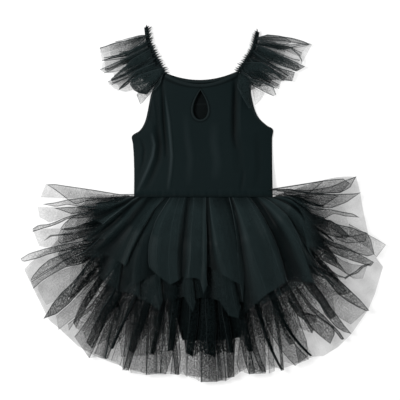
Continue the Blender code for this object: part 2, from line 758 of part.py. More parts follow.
def make_frill(side, sleeve, part, frill, columns):
    """One strip of tulle gathered on the strap: a narrow header inside it and a wide frill outside."""
    def lies_on(x, y):
        top = bodice_top(x, y) if part == "front" else 0.0
        return top + FRILL_CLEAR if top else 0.0

    foot, strap, along, inward = strap_line(sleeve)
    under = [[] for _ in range(len(FRILL_STEPS) + 1)]
    for share, root_x, root_y, hem_x, hem_y, crest in columns:
        reach = mix(HEADER_TROUGH, HEADER_CREST, crest)
        up = share / FRILL_TOP
        tilt = (up - HEADER_UPRIGHT) * reach * HEADER_TILT
        x = foot[0] + strap[0] * up + inward[0] * reach + along[0] * tilt
        y = foot[1] + strap[1] * up + inward[1] * reach + along[1] * tilt
        base = max(frill.root_base, lies_on(x, y))
        under[0].append((x, y, base + crest * (frill.header_height - TULLE_WALL)))
        run = (hem_x - root_x, hem_y - root_y)
        bow = FRILL_TOP_BULGE * share * (1.0 if run[0] < 0 else -1.0)
        for i, step in enumerate(FRILL_STEPS):
            swell = 4.0 * step * (1.0 - step) * bow
            x, y = root_x + run[0] * step + run[1] * swell, root_y + run[1] * step - run[0] * swell
            height = mix(frill.root_height, frill.hem_height, smooth(step))
            base = max(mix(frill.root_base, frill.hem_base, smooth(step)), lies_on(x, y))
            under[i + 1].append((x, y, base + crest * (height - TULLE_WALL)))
    wall(f"sleeve_{side}_{part}", under, raised(under, TULLE_WALL), "tulle")


def make_sleeves():
    for side, sleeve in SLEEVES.items():
        make_strap(side, sleeve)
        make_frill(side, sleeve, "front", FRONT_FRILL, frill_columns(sleeve, 0, 1.0, 0.0))
        back = frill_columns(sleeve, BACK_FRILL_FIRST, BACK_FRILL_SHARE, BACK_FRILL_START)
        make_frill(side, sleeve, "back", BACK_FRILL, back)


def main():
    for obj in list(bpy.data.objects):
        bpy.data.objects.remove(obj)
    make_bodice()
    make_brief()
    make_skirt()
    make_sleeves()


main()
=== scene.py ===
"""The looks of a child's black leotard dress with a tutu skirt, laid flat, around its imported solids.

Frame: +Z up from the surface that the dress lies on, +Y towards the neck, +X to the right as seen from
above. The tables below are in millimetres and degrees, and every mesh is in metres.
"""

import random
from collections import namedtuple
from math import acos, atan2, cos, degrees, dist, pi, radians, sin

import bmesh
import bpy
from bpy.props import FloatProperty, FloatVectorProperty, PointerProperty
from mathutils import Matrix, Vector


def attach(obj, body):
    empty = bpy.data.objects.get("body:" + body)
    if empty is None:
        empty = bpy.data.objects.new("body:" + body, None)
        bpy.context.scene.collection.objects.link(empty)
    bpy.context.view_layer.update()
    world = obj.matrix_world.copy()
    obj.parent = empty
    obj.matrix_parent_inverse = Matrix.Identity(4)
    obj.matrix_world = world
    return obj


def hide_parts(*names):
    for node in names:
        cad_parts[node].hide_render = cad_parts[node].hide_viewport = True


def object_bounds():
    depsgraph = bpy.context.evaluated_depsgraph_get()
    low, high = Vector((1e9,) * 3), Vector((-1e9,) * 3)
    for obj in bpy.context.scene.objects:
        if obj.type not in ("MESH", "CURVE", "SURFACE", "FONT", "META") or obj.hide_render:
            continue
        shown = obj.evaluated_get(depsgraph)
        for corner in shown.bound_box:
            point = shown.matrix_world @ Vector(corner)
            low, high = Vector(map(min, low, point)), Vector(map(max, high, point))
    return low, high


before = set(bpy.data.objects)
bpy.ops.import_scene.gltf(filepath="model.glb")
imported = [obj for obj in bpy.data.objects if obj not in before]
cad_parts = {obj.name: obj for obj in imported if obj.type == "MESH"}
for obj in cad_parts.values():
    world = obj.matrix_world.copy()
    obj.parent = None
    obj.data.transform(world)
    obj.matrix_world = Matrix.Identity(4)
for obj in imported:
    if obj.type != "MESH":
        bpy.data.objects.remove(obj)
CAD_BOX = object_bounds()

bl_info = {
    "name": "Tutu dress",
    "version": (1, 0, 0),
    "blender": (4, 5, 0),
    "location": "View3D > Sidebar > Tutu dress",
    "description": "Sews the cloth, net and trim of a child's tutu dress over its plain solids",
    "category": "Object",
}

MM = 0.001
BODY = "root"


def table(kind, *rows):
    """The rows of a table, their values named."""
    return tuple(kind(*row) for row in rows)


# ---------------------------------------------------------------- the skirt's fan
WAIST_Y = 11.0
WAIST_HALF = 131.0
FAN_HALF = 98.0  # degrees from straight down to the skirt's sides
PLEAT_BOW = 0.33
SHOULDER_FROM = 94.0
SHOULDER_FULL = 100.0
SHOULDER_RISE = 4.5
SHOULDER_SHARE = 0.05
OUTLINE = (  # an angle from straight down, and how far the longest hem reaches there
    (-100, 280), (-90, 290), (-80, 312), (-70, 345), (-52, 360), (-36, 355), (-18, 337), (0, 332),
    (18, 335), (36, 353), (52, 362), (68, 347), (80, 308), (90, 286), (100, 275),
)

# The height of each layer's lowest points at these shares of the way from the waist to the longest hem,
# and how deep the layer is at the waist and further out.
SHARES = (0.0, 0.25, 0.66, 0.84, 1.0)
Level = namedtuple("Level", "base waist_depth full_depth")
LEVELS = {
    "tier_1_back": Level((0.3, 0.2, 0.2, 0.2, 0.2), 1.0, 2.6),
    "tier_2_back": Level((2.2, 3.6, 3.6, 3.6, 3.6), 1.0, 3.0),
    "tier_3_back": Level((4.2, 7.2, 7.2, 0.3, 0.3), 1.0, 4.2),
    "tier_4_back": Level((6.2, 12.3, 12.3, 5.8, 0.3), 1.0, 5.6),
    "brief_back": Level((8.1, 19.0, 19.0, 12.5, 6.7), 1.0, 1.0),
    "brief_front": Level((9.5, 20.8, 20.8, 14.3, 8.5), 1.0, 1.0),
    "tier_4_front": Level((11.0, 22.4, 22.4, 15.9, 10.1), 0.9, 7.0),
    "tier_3_front": Level((12.3, 30.0, 30.0, 23.5, 17.7), 0.9, 7.0),
    "tier_2_front": Level((13.6, 37.6, 37.6, 37.6, 37.6), 0.9, 7.0),
    "tier_1_front": Level((14.9, 45.2, 45.2, 45.2, 45.2), 1.0, 8.0),
}

# ---------------------------------------------------------------- folds of the net
# A line of a tier, from the waist to the hem: where it leaves the waist, a place on its way, its end on
# the hem, its height in its layer from 0 to 1, and up to 1 where the net is folded over along it.
Crease = namedtuple("Crease", "root mid_x mid_y hem_x hem_y height folded", defaults=(0,))
TIER_1_CREASES = table(
    Crease,
    (-124.5, -153.5, 7, -184, 6.5, 0.2), (-123, -155, 0, -190.5, -7, 0.9, 0.3),
    (-119, -153.5, -9, -203.5, -26, 0.1), (-115.5, -153.5, -16, -178.5, -37, 0.9, 1),
    (-110, -148, -23.5, -203.5, -61, 0.1), (-103, -141, -29, -171.5, -65, 0.8),
    (-96, -132, -38, -193, -84, 0.25), (-83, -117.5, -34, -150, -104, 0.6),
    (-72.5, -99.5, -32.5, -139.5, -111.5, 1, 0.3), (-67, -107.5, -38, -133.5, -106, 0.75, 1),
    (-78, -119, -41.5, -142.5, -113.5, 0.3, 1), (-65, -101, -41.5, -128, -150, 0.45),
    (-61, -92, -36, -124.5, -146, 0.6), (-47, -78, -66.5, -83, -124, 0.15, 1),
    (-59, -94, -57.5, -96, -115, 0.65, 1), (-52.5, -81.5, -63, -78, -131.5, 1, 0.3),
    (-42, -60, -66.5, -58.5, -145, 0.85, 0.3), (-33, -47, -66.5, -45.5, -138.5, 0.9, 0.3),
    (-29, -40, -66.5, -41, -135, 0.4), (-26.5, -36.5, -66.5, -37.5, -131.5, 0),
    (-24, -28.5, -66.5, -33, -133, 0.5), (-16.5, -22, -66.5, -27.5, -134, 1, 0.3),
    (-7.5, -9.5, -66.5, -13, -133, 0.8), (-2, -2, -66.5, -6, -137, 0.7),
    (1.5, 2, -75.5, 0.5, -162, 0.9, 0.3), (5, 6, -75.5, 7, -146.5, 0.75, 1),
    (1.5, -2, -75.5, -0.5, -117, 0.25, 1), (8.5, 9.5, -57.5, 8.5, -113, 0),
    (11, 17.5, -41.5, 48, -135, 1, 0.3), (23, 37.5, -48.5, 64.5, -144, 0.7), (30, 48, -52, 70, -146.5, 0.6),
    (47, 68, -59.5, 77, -113.5, 0.15, 1), (45.5, 59, -66.5, 70, -174.5, 0.6, 1),
    (50, 64.5, -66.5, 72.5, -198, 0.1), (52.5, 79, -57.5, 113, -162, 1, 0.3),
    (66, 97, -57.5, 129, -153, 0.75), (77, 113, -57.5, 143.5, -142, 0.85, 0.3),
    (83, 122, -52, 149.5, -138.5, 0.6, 1), (78, 111, -59.5, 140, -128, 0.15, 1),
    (91.5, 131, -48.5, 161.5, -140.5, 0), (98.5, 144.5, -36, 199, -142, 1, 0.3),
    (106, 156, -32.5, 179.5, -109.5, 0.8, 1), (104, 151, -30.5, 205, -115, 0.25, 1),
    (112, 163.5, -16, 184, -79.5, 0.9, 0.3), (115, 165, -9, 218, -78, 0.15),
    (117.5, 163.5, -2, 182.5, -46.5, 0.85, 0.3), (120, 161.5, 3.5, 210.5, -36, 0.2),
    (122, 158, 8, 188.5, -12.5, 0.8), (124, 154.5, 12.5, 178, 7, 0.2),
)
TIER_2_CREASES = table(
    Crease,
    (-130, -168, 11, -204, 12.5, 0.2), (-126.5, -168, 0, -214.5, -5.5, 0.9, 1),
    (-124.5, -166, -5.5, -227, -18, 0.3, 1), (-121, -171.5, -14.5, -199.5, -32, 0.9, 0.3),
    (-117.5, -169.5, -25, -230.5, -56.5, 0.2), (-114, -171.5, -34, -199.5, -71.5, 0.95, 1),
    (-112, -164, -39.5, -224.5, -94, 0.35, 1), (-106.5, -162.5, -50.5, -183, -98, 0.8),
    (-101, -155, -63, -187.5, -129.5, 0.3), (-96, -146, -68.5, -171.5, -144, 0.95, 0.3),
    (-88.5, -135.5, -77.5, -151.5, -155, 0.6, 1), (-91.5, -141, -84.5, -157, -156.5, 0.25, 1),
    (-85, -124.5, -84.5, -133.5, -160, 0.7), (-77, -112, -93.5, -112.5, -167, 0.9, 1),
    (-79.5, -117.5, -99, -119, -167.5, 0.4, 1), (-69, -97.5, -99, -96, -178, 0.8),
    (-63.5, -88.5, -102.5, -79, -191.5, 1, 0.3), (-56, -76, -102.5, -72.5, -174.5, 0.8, 1),
    (-60, -83, -106, -78, -171, 0.3, 1), (-45.5, -56, -99, -56, -174.5, 0.5),
    (-34.5, -42, -95.5, -42, -169, 0.2), (-29, -36.5, -95.5, -34.5, -167.5, 0.7),
    (-24, -27.5, -99, -18.5, -195, 1, 0.3), (-17.5, -20, -99, -14, -178, 0.8, 1),
    (-21, -25.5, -99, -20, -171, 0.3, 1), (-9.5, -9.5, -95.5, -4, -169, 0.5),
    (3, 7, -95.5, 10.5, -169, 0.2), (14, 23, -99, 28.5, -174.5, 0.8), (25, 35.5, -99, 46, -201, 1, 0.3),
    (30, 44.5, -99, 62.5, -205.5, 0.85, 0.3), (36.5, 50, -95.5, 67, -185.5, 0.6, 1),
    (33, 44.5, -95.5, 59, -174.5, 0.25, 1), (44.5, 66, -92, 84, -180, 0.7),
    (59, 84, -88, 106, -180, 0.95, 0.3), (70, 98.5, -81, 124, -171, 0.5),
    (79.5, 116.5, -74, 140, -164, 0.9, 1), (76, 109.5, -77.5, 133, -164, 0.3, 1),
    (89.5, 133, -66.5, 161.5, -153, 0.6), (97, 145.5, -59.5, 179.5, -139.5, 1, 0.3),
    (104, 154.5, -48.5, 208.5, -130.5, 0.6, 1), (101, 149, -52, 185, -120.5, 0.25, 1),
    (109.5, 161.5, -38, 191, -88, 0.95, 0.3), (115, 165, -23.5, 230, -78, 0.4),
    (119, 167, -11, 199, -37, 0.9, 1), (117.5, 163.5, -14.5, 228, -55, 0.3, 1),
    (122, 163.5, 0, 212, -14.5, 0.8), (125.5, 160, 10, 203, 11, 0.3),
)

# A flat fold that hangs like a finger: where it leaves the waist, a place on its way, its end, how far the
# hem draws back after it, its width at those two places, how much longer its right edge is, and its plies:
# 1 for a sheer leaf, 3 for a flat fold and more for a crumpled one. The thinnest have the widths below.
SHEER = 1
FLAT_FOLD = 3
THIN_FINGER = (3.5, 2.0, 0.0, FLAT_FOLD)
FINGER_VALUES = "root mid_x mid_y hem_x hem_y notch mid_width hem_width slant plies"
Finger = namedtuple("Finger", FINGER_VALUES, defaults=THIN_FINGER)
TIER_4_FINGERS = table(
    Finger,
    (-130, -150, 14, -166, 13, 4), (-125, -160, 3, -190, -5, 6), (-120, -164, -18, -204, -36, 5),
    (-114, -166, -42, -212, -76, 8), (-106, -160, -72, -204, -110, 6), (-97, -152, -110, -196, -160, 4),
    (-86, -178.5, -185.5, -218.5, -260, 2.2, 25, 39.5, 18), (-76, -155, -207, -174.5, -280, 4, 16, 2.5),
    (-67, -121, -221.5, -138.5, -299.5, 4, 11, 9), (-60, -99.5, -228.5, -102.5, -308, 2, 3.5, 2.5),
    (-52.5, -81.5, -228.5, -75, -306, 4, 3.5, 2.5), (-48, -72.5, -228.5, -65, -302.5, 3),
    (-42, -56, -236, -46.5, -308, 8, 9, 7), (-27.5, -29, -228.5, -30, -311.5, 2, 3.5, 2.5),
    (-6, 5, -228.5, 10.5, -321.5, 1, 21.5, 29), (16, 34, -228.5, 41, -317, 6),
    (25, 46.5, -228.5, 50, -313, 8, 14.5, 11), (41, 71.5, -228.5, 88, -306, 1, 18, 11),
    (48, 84, -225, 109.5, -304, 8, 11, 7), (55.5, 95, -219.5, 124.5, -293.5, 2, 4.5, 2.5),
    (61, 106, -214, 141, -299, 12, 5.5, 3.5), (68, 124, -207, 176, -284.5, 4, 25, 25, -7),
    (75, 138, -196, 194, -274.5, 50, 5.5, 3.5), (82, 158, -160, 204, -214, 8),
    (90, 160, -128, 206, -176, 6), (99, 168, -96, 212, -140, 8), (107, 170, -66, 216, -104, 6),
    (114, 168, -42, 206, -72, 6), (121, 164, -18, 202, -38, 5), (127, 158, 2, 188, -8, 4),
    (131, 150, 14, 172, 13, 0),
)

# A sheer leaf of net: its height in its layer, its plies at its root and at its end, the places that its
# upper or left and its lower or right edge run through on the way out, each an x and a y, and how sharp
# those edges are, where past 1 the line along them is wider.
Leaf = namedtuple("Leaf", "height root end first second folded", defaults=(1.6,))
LEAVES = table(
    Leaf,
    (0.9, 1.8, 1.5, (118, 25, 156, 31, 188, 36, 217, 41, 250, 44, 263, 35),
     (118, 23, 156, 24, 190, 17, 219, 17, 246, 18, 263, 35)),
    (0.6, 0.9, 0.5, (118, 25, 156, 30, 188, 36, 217, 40), (118, 23, 156, 24, 190, 17, 217, 40)),
    (0.7, 2, 1.6, (131, 25, 190, 23, 230, 30, 255, 41, 275, 48),
     (131, 21, 198, 16, 246, 18, 264, 28, 275, 48)),
    (0.8, 2.6, 1.5, (123, 24, 156, 24, 188, 18, 230, 16, 270, 17, 283, 19),
     (123, 14, 175, 7, 196, -5, 212, -8, 228, -10, 257, 1, 283, 19)),
    (0.5, 1.6, 1.5, (144, 21, 169, 17, 198, 16, 230, 16, 243, 13),
     (144, 16, 169, 7, 188, -1, 212, -7, 243, 13)),
    (0.7, 2.2, 1.2, (144, 7, 177, -1, 198, -10, 228, -11, 246, -15, 269, -19, 280, -26),
     (144, -7, 183, -24, 196, -30, 215, -29, 234, -19, 255, -24, 280, -26)),
    (0.9, 2.6, 2, (156, -16, 183, -27, 202, -31, 227, -30, 244, -41, 263, -60),
     (156, -30, 196, -45, 219, -56, 240, -62, 253, -64, 263, -60)),
    (0.4, 2, 2, (207, -27, 230, -32, 244, -41, 263, -60), (207, -35, 236, -49, 246, -58, 263, -60)),
    (0.8, 2.2, 1.7, (198, -24, 225, -32, 244, -39, 265, -43, 284, -51, 294, -53, 301, -66, 307, -92),
     (190, -45, 211, -66, 236, -80, 261, -86, 278, -91, 295, -96, 307, -92)),
    (0.6, 0.9, 0.7, (236, -58, 263, -60, 282, -56, 294, -54),
     (236, -64, 257, -72, 276, -71, 291, -69, 294, -54)),
    (0.3, 1.2, 1.1, (261, -37, 295, -56, 312, -65, 328, -75),
     (261, -58, 299, -83, 311, -98, 328, -75), 0.9),
    (1, 5, 2.4, (169, -45, 219, -66, 249, -75, 274, -88, 306, -106),
     (169, -62, 209, -79, 225, -87, 244, -95, 265, -103, 301, -114, 306, -106)),
    (0.7, 2.5, 2.2, (252, -134, 261, -128, 273, -122, 284, -112, 294, -109, 304, -108),
     (254, -137, 265, -130, 277, -126, 287, -116, 296, -112, 304, -108)),
    (0.5, 1.6, 0.8, (216, -79, 248, -102, 265, -109, 286, -112, 294, -112, 286, -135),
     (216, -88, 248, -117, 261, -130, 273, -136, 286, -135), 0.8),
    (0.8, 5, 2, (172, -69, 202, -77, 219, -86, 235, -98, 246, -111, 254, -123, 265, -132, 276, -140),
     (172, -77, 189, -86, 208, -98, 225, -109, 240, -116, 252, -124, 265, -133, 276, -140)),
    (0.9, 5, 2.2, (160, -86, 185, -94, 210, -107, 223, -115, 240, -128, 260, -135),
     (160, -96, 181, -104, 206, -121, 223, -130, 242, -133, 260, -135)),
    (1, 5, 2.4, (168, -100, 189, -109, 216, -119, 242, -136, 258, -151, 282, -174, 298, -193),
     (168, -113, 189, -123, 219, -136, 231, -151, 242, -164, 258, -176, 277, -187, 295, -195, 298, -193)),
    (0.6, 1.2, 0.7, (189, -109, 219, -119, 242, -136, 256, -149, 265, -160),
     (189, -115, 216, -128, 229, -149, 242, -164, 252, -165, 265, -160)),
    (0.4, 1.6, 0.9, (198, -134, 227, -153, 242, -161, 265, -176, 292, -194),
     (198, -151, 227, -184, 237, -201, 250, -209, 265, -218, 292, -194), 0.7),
    (0.9, 5, 2.6, (174, -117, 206, -155, 227, -184, 240, -201, 252, -218, 266, -235),
     (174, -130, 200, -165, 219, -201, 237, -222, 252, -231, 266, -235)),
    (0.8, 5, 4, (166, -146, 195, -184, 216, -201, 235, -221, 246, -233, 253, -244),
     (166, -155, 193, -193, 212, -209, 229, -222, 240, -235, 248, -246, 253, -244)),
    (0.6, 5, 2.6, (151, -165, 172, -193, 203, -201, 221, -212, 235, -223, 236, -235, 228, -253),
     (151, -176, 168, -201, 184, -212, 193, -224, 210, -239, 228, -253)),
    (0.2, 0.9, 0.8, (-123, 15, -150, 16, -198, 24, -246, 31, -266, 34, -283, 34),
     (-123, 6, -163, 8, -211, 9, -251, 9, -273, 10, -292, 10), 0.3),
    (0.6, 1.2, 0.6, (-123, 16, -150, 16, -198, 24, -246, 31, -266, 34, -281, 33),
     (-123, 9, -172, 6, -211, 3, -229, -3, -242, 5, -253, 14, -268, 25, -281, 33)),
    (0.9, 2.2, 1.4, (-123, 13, -150, 11, -185, 9, -216, 10, -244, 6, -266, 1, -289, -2),
     (-123, 0, -150, -2, -185, -7, -202, -8, -224, -6, -244, -3, -264, -7, -289, -2)),
    (0.3, 0.9, 0.9, (-150, -5, -185, -6, -224, -7, -264, -8, -297, -7),
     (-150, -16, -185, -20, -216, -22, -235, -23, -253, -27, -276, -35, -294, -25), 0.3),
    (0.7, 3, 0.9, (-167, -2, -198, -7, -224, -6, -244, -7, -268, -9),
     (-167, -9, -198, -13, -216, -17, -235, -20, -244, -17, -255, -13, -268, -9)),
    (0.9, 2.2, 1.9, (-154, -2, -185, -11, -209, -16, -235, -22, -251, -27, -266, -34, -279, -38, -295, -39,
      -306, -46),
     (-154, -13, -185, -22, -216, -27, -242, -28, -257, -36, -273, -42, -288, -46, -306, -52)),
    (0.3, 1, 0.9, (-154, -33, -185, -38, -216, -40, -255, -46, -284, -46, -306, -49),
     (-154, -60, -185, -64, -216, -68, -246, -73, -262, -76, -282, -79, -294, -77), 0.4),
    (0.8, 1.4, 1.2, (-233, -53, -253, -55, -260, -56, -274, -57, -286, -68),
     (-233, -57, -253, -58, -260, -59, -272, -60, -286, -68)),
    (0.7, 4, 1, (-172, -22, -202, -33, -229, -42, -246, -45, -255, -47, -260, -57),
     (-172, -44, -202, -57, -229, -66, -246, -72, -257, -73, -260, -68, -260, -57)),
    (0.9, 4, 1.1, (-179, -60, -209, -67, -244, -72, -282, -81, -312, -90, -328, -100),
     (-179, -71, -209, -79, -238, -84, -261, -88, -280, -93, -295, -99, -324, -106, -328, -100)),
    (0.9, 4, 1.6, (-188, -69, -221, -79, -255, -92, -276, -101, -293, -115, -307, -132, -310, -140),
     (-188, -79, -221, -90, -251, -104, -263, -113, -284, -124, -299, -134, -310, -140)),
    (0.7, 4, 1.4, (-183, -75, -221, -92, -251, -103, -265, -114, -286, -126, -309, -141),
     (-183, -90, -213, -107, -225, -111, -246, -115, -267, -126, -288, -139, -305, -154)),
    (0.3, 1.2, 0.7, (-179, -90, -209, -104, -225, -110, -267, -125, -297, -149, -296, -157),
     (-179, -104, -209, -121, -221, -134, -238, -151, -259, -172, -282, -183), 0.2),
    (1, 6, 3.6, (-162, -71, -183, -86, -200, -102, -219, -123, -234, -142, -255, -161, -270, -180,
      -287, -208),
     (-162, -92, -183, -109, -192, -121, -204, -140, -221, -159, -240, -180, -263, -199, -287, -208)),
    (0.4, 1.8, 1.1, (-171, -100, -192, -121, -204, -144, -221, -163, -240, -182, -264, -203),
     (-167, -113, -183, -136, -192, -155, -207, -184, -221, -197, -240, -212, -260, -228), 0.7),
    (0.8, 3, 1.1, (-167, -136, -188, -165, -202, -184, -221, -199, -243, -217),
     (-162, -146, -186, -176, -202, -193, -221, -207, -234, -218, -241, -229)),
    (0.8, 1.7, 1.6, (-123, 6, -141, 2, -185, -10, -216, -18, -233, -23, -249, -36, -256, -46),
     (-123, -16, -141, -22, -172, -38, -198, -43, -224, -46, -244, -49, -256, -46)),
    (0.5, 2, 1.2, (-123, -33, -163, -40, -198, -46, -229, -51, -251, -55),
     (-123, -53, -163, -60, -198, -64, -229, -69, -251, -70), 0.7),
    (0.6, 2, 1.5, (-123, 11, -163, 4, -198, 0, -229, -7), (-123, -16, -163, -22, -198, -22, -229, -7), 0.6),
    (0.7, 4, 2.6, (-150, -62, -179, -71, -221, -73, -255, -84, -261, -92),
     (-150, -79, -179, -90, -213, -104, -244, -112, -261, -92), 0.7),
    (0.7, 1.8, 1.4, (-151, -160, -169, -204, -184, -243, -196, -270),
     (-138, -160, -151, -208, -162, -252, -170, -279), 0.8),
    (0.9, 2, 2, (-133, -160, -138, -208, -142, -261, -145, -300),
     (-116, -160, -116, -208, -125, -261, -134, -301), 1),
    (0.4, 1, 0.7, (-131, -182, -131, -239, -133, -287, -130, -305),
     (-100, -182, -98, -239, -100, -278, -102, -309), 0.8),
    (0.7, 2, 1.6, (-105, -182, -102, -239, -103, -278, -103, -309),
     (-76, -182, -72, -239, -74, -278, -76, -306), 1.4),
    (0.8, 1.8, 1.4, (-164, -173, -155, -226, -148, -261, -147, -276),
     (-72, -173, -67, -226, -72, -261, -76, -272), 0.8),
    (0.9, 3, 2.4, (-85, -160, -72, -208, -74, -261, -78, -305),
     (-59, -160, -50, -208, -52, -261, -67, -307), 1.2),
    (0.6, 1.3, 1.3, (-67, -182, -54, -239, -56, -278, -59, -307),
     (-54, -182, -43, -239, -40, -278, -45, -309), 1.4),
    (0.5, 1.7, 0.9, (-41, -182, -34, -239, -31, -278, -30, -309),
     (-6, -182, -4, -239, -3, -278, -3, -314), 0.9),
    (0.4, 1.6, 0.6, (3, -204, 10, -270, 10, -320), (34, -204, 38, -270, 41, -320), 1),
    (0.8, 3, 2, (16, -204, 24, -261, 26, -314), (56, -204, 57, -261, 55, -300, 48, -314), 1.2),
    (0.5, 2, 0.9, (60, -204, 65, -248, 60, -287, 65, -304), (65, -204, 76, -248, 78, -278, 79, -296), 1.4),
    (0.9, 3, 2.4, (78, -182, 82, -239, 81, -278, 82, -307),
     (104, -182, 111, -239, 112, -278, 112, -306), 1.2),
    (0.6, 1.2, 0.8, (111, -182, 114, -239, 117, -278, 118, -306),
     (122, -182, 125, -239, 127, -278, 128, -302), 1),
    (0.9, 4, 4, (122, -173, 133, -239, 138, -278, 139, -301),
     (128, -173, 139, -239, 143, -278, 145, -300), 1.2),
    (0.8, 2, 1.8, (131, -146, 148, -204, 164, -252, 171, -288),
     (148, -146, 170, -204, 186, -248, 189, -281), 1.2),
)
LEAF_ROWS = 30
LEAF_STEP = 4.0
LEAF_WAVE = 0.04
LEAF_BULGE = 0.1  # how much higher a leaf stands along its middle than at its first edge
LEAF_SECOND_EDGE = 0.5  # the height of its second edge, beside the first
LEAF_DENSE_TO = 0.25
LEAF_ROW_ACROSS = 5  # which edge lies on the right is told from this row

# The hem of the longest tier's back half, which shows round the edge: a place on each shallow wave.
TIER_4_BACK_HEM = (
    (-200, 12.5), (-214.5, 0), (-236, -16), (-247, -36), (-254, -56), (-272, -77.5), (-301, -99),
    (-322, -119.5), (-300.5, -164.5), (-277, -210.5), (-259, -226), (-225.5, -257), (-195, -275),
    (-168, -285.5), (-143.5, -295), (-121, -302.5), (-96, -308), (-72.5, -308.5), (-49, -306),
    (-29, -310.5), (-4, -313), (19.5, -318.5), (41, -320.5), (53.5, -312.5), (66, -299), (80.5, -297),
    (106, -303.5), (125.5, -297), (149, -296), (172.5, -286), (198.5, -276.5), (216.5, -275), (242.5, -259),
    (265.5, -236.5), (297.5, -191), (309, -162), (323.5, -115), (310, -97), (300, -72), (295, -48.5),
    (287.5, -12.5), (282, 20), (275, 47),
)
# A pleat that hangs along its own radius: its angle, its reach, the hem's reach after it, and its widths.
Pleat = namedtuple("Pleat", "angle reach valley mid_width hem_width")
TIER_3_PLEATS = table(
    Pleat,
    (-87, 190, 182, 4, 3), (-84, 208, 190, 9, 5), (-77, 220, 200, 14, 3), (-70, 228, 212, 10, 6),
    (-62, 246, 228, 16, 4), (-53, 300, 270, 20, 5), (-45, 326, 318, 12, 10), (-37.5, 336, 318, 18, 14),
    (-31, 318, 284, 6, 4), (-25, 306, 262, 12, 12), (-18, 296, 238, 9, 7), (-12, 282, 242, 14, 10),
    (-5, 284, 276, 16, 12), (3, 285, 278, 18, 14), (10.5, 284, 242, 10, 8), (17, 290, 254, 14, 9),
    (24, 304, 248, 8, 5), (31, 308, 286, 14, 9), (39, 312, 292, 9, 4), (47, 318, 296, 18, 10),
    (56, 308, 270, 12, 5), (64, 266, 244, 18, 8), (71, 246, 222, 10, 4), (78, 232, 208, 14, 3),
    (85, 216, 194, 10, 6), (90, 196, 190, 4, 3),
)
LEAVES_FROM = 50.0  # past this angle the pleats are sheer leaves
LEAF_WIDER = 1.8  # and their widths on the way are this many times as large
PLEAT_MID = 0.55  # the share of its length where a pleat's place on its way lies
NARROW_FOLD = 5.0  # a fold no wider than this is one sharp crease
WIDE_WEB = 15.0  # a web wider than this has fine creases of its own
WEB_CREASED = 0.6  # how many of them it has, of two
CREASE_STRAY = 1.6  # how far a line strays from its course in slow waves
PLEAT_STRAY = 2.6
FINGER_STRAY = 2.2
LEAF_STRAY = 1.7  # how much more a sheer leaf's edges wander than a fold's
FOLD_TOP = 0.8  # no fold stands higher in its layer
FOLD_RISE = 0.16  # a fold's rise above the web before it, and what each millimetre of its width adds
FOLD_RISE_BY_WIDTH = 0.035
FIRST_LOW = 0.1
# Each draw lies between the two values.
LOWS = (0.02, 0.2)
VALLEYS = (0.0, 0.3)
WEB_HEIGHTS = (0.25, 0.7)
WEB_FOLDED = (0.0, 0.5)
WEB_CREASE_FOLDED = (0.2, 0.6)
PLEAT_SLANTS = (-5.0, 8.0)
WEB_CREASE_HEIGHTS = (0.5, 1.2)  # of the crease before the web's middle and after it, beside the middle's
SHORTEST_WEB = 0.2
PLEAT_SWAY = 1.5
ROOT_SWAY = 1.0
# The lines of a fold in the order that the net runs through them: how far across the fold, how high between
# the web before it and the fold's own height, and how sharply folded.
SHEER_PANELS = ((0.0, 1.0, 1.0), (0.5, 0.6, 0.0), (1.0, 0.3, 1.0), (0.5, 0.0, 0.4))
WIDE_PANELS = ((0.0, 1.0, 0.9), (1.0, 0.8, 1.0), (0.0, 0.25, 0.8), (1.0, 0.0, 0.5))
NARROW_PANELS = ((0.0, 0.0, 0.0), (0.5, 1.0, 0.9), (1.0, 0.0, 0.0))

# How many plies each tier counts at its root and hem, at these angles from straight down.
DENSITIES = {
    "tier_1_front": (
        (0, 1.4, 1.2), (42, 1.4, 1.1), (62, 1.3, 0.9), (78, 1.1, 0.6), (90, 0.6, 0.3),
    ),
    "tier_2_front": (
        (0, 1.4, 1.2), (42, 1.4, 1), (62, 1.2, 0.7), (78, 0.9, 0.4), (90, 0.4, 0.25),
    ),
    "tier_3_front": (
        (0, 3, 2.4), (13, 2.6, 1.4), (22, 2, 0.6), (45, 1.3, 0.4), (62, 1.3, 0.6), (78, 1.1, 0.5),
        (90, 0.5, 0.3),
    ),
    "tier_4_front": (
        (0, 2.2, 1.2), (16, 2, 1), (30, 1.5, 0.7), (45, 1, 0.55), (62, 1.1, 0.8), (78, 1.1, 0.8),
        (90, 0.6, 0.5),
    ),
    "tier_1_back": ((0, 1, 1), (70, 1, 1), (88, 0.3, 0.3)),
    "tier_2_back": ((0, 1, 1), (70, 1, 1), (88, 0.4, 0.3)),
    "tier_3_back": ((0, 1, 1), (70, 1, 1), (88, 0.5, 0.4)),
}
PLAIN_HALF_FAN = 90.0
PLAIN_SWAY = 0.8
PLAIN_CREST = 0.6  # the least height of a hidden tier's crests, and of the longest tier's at the back
HEM_CREST = 0.5
Plain = namedtuple("Plain", "pleats share ragged")
PLAIN_BACKS = {
    "tier_1_back": Plain(22, 0.44, 0.035),
    "tier_2_back": Plain(24, 0.58, 0.04),
    "tier_3_back": Plain(30, 0.81, 0.13),
}
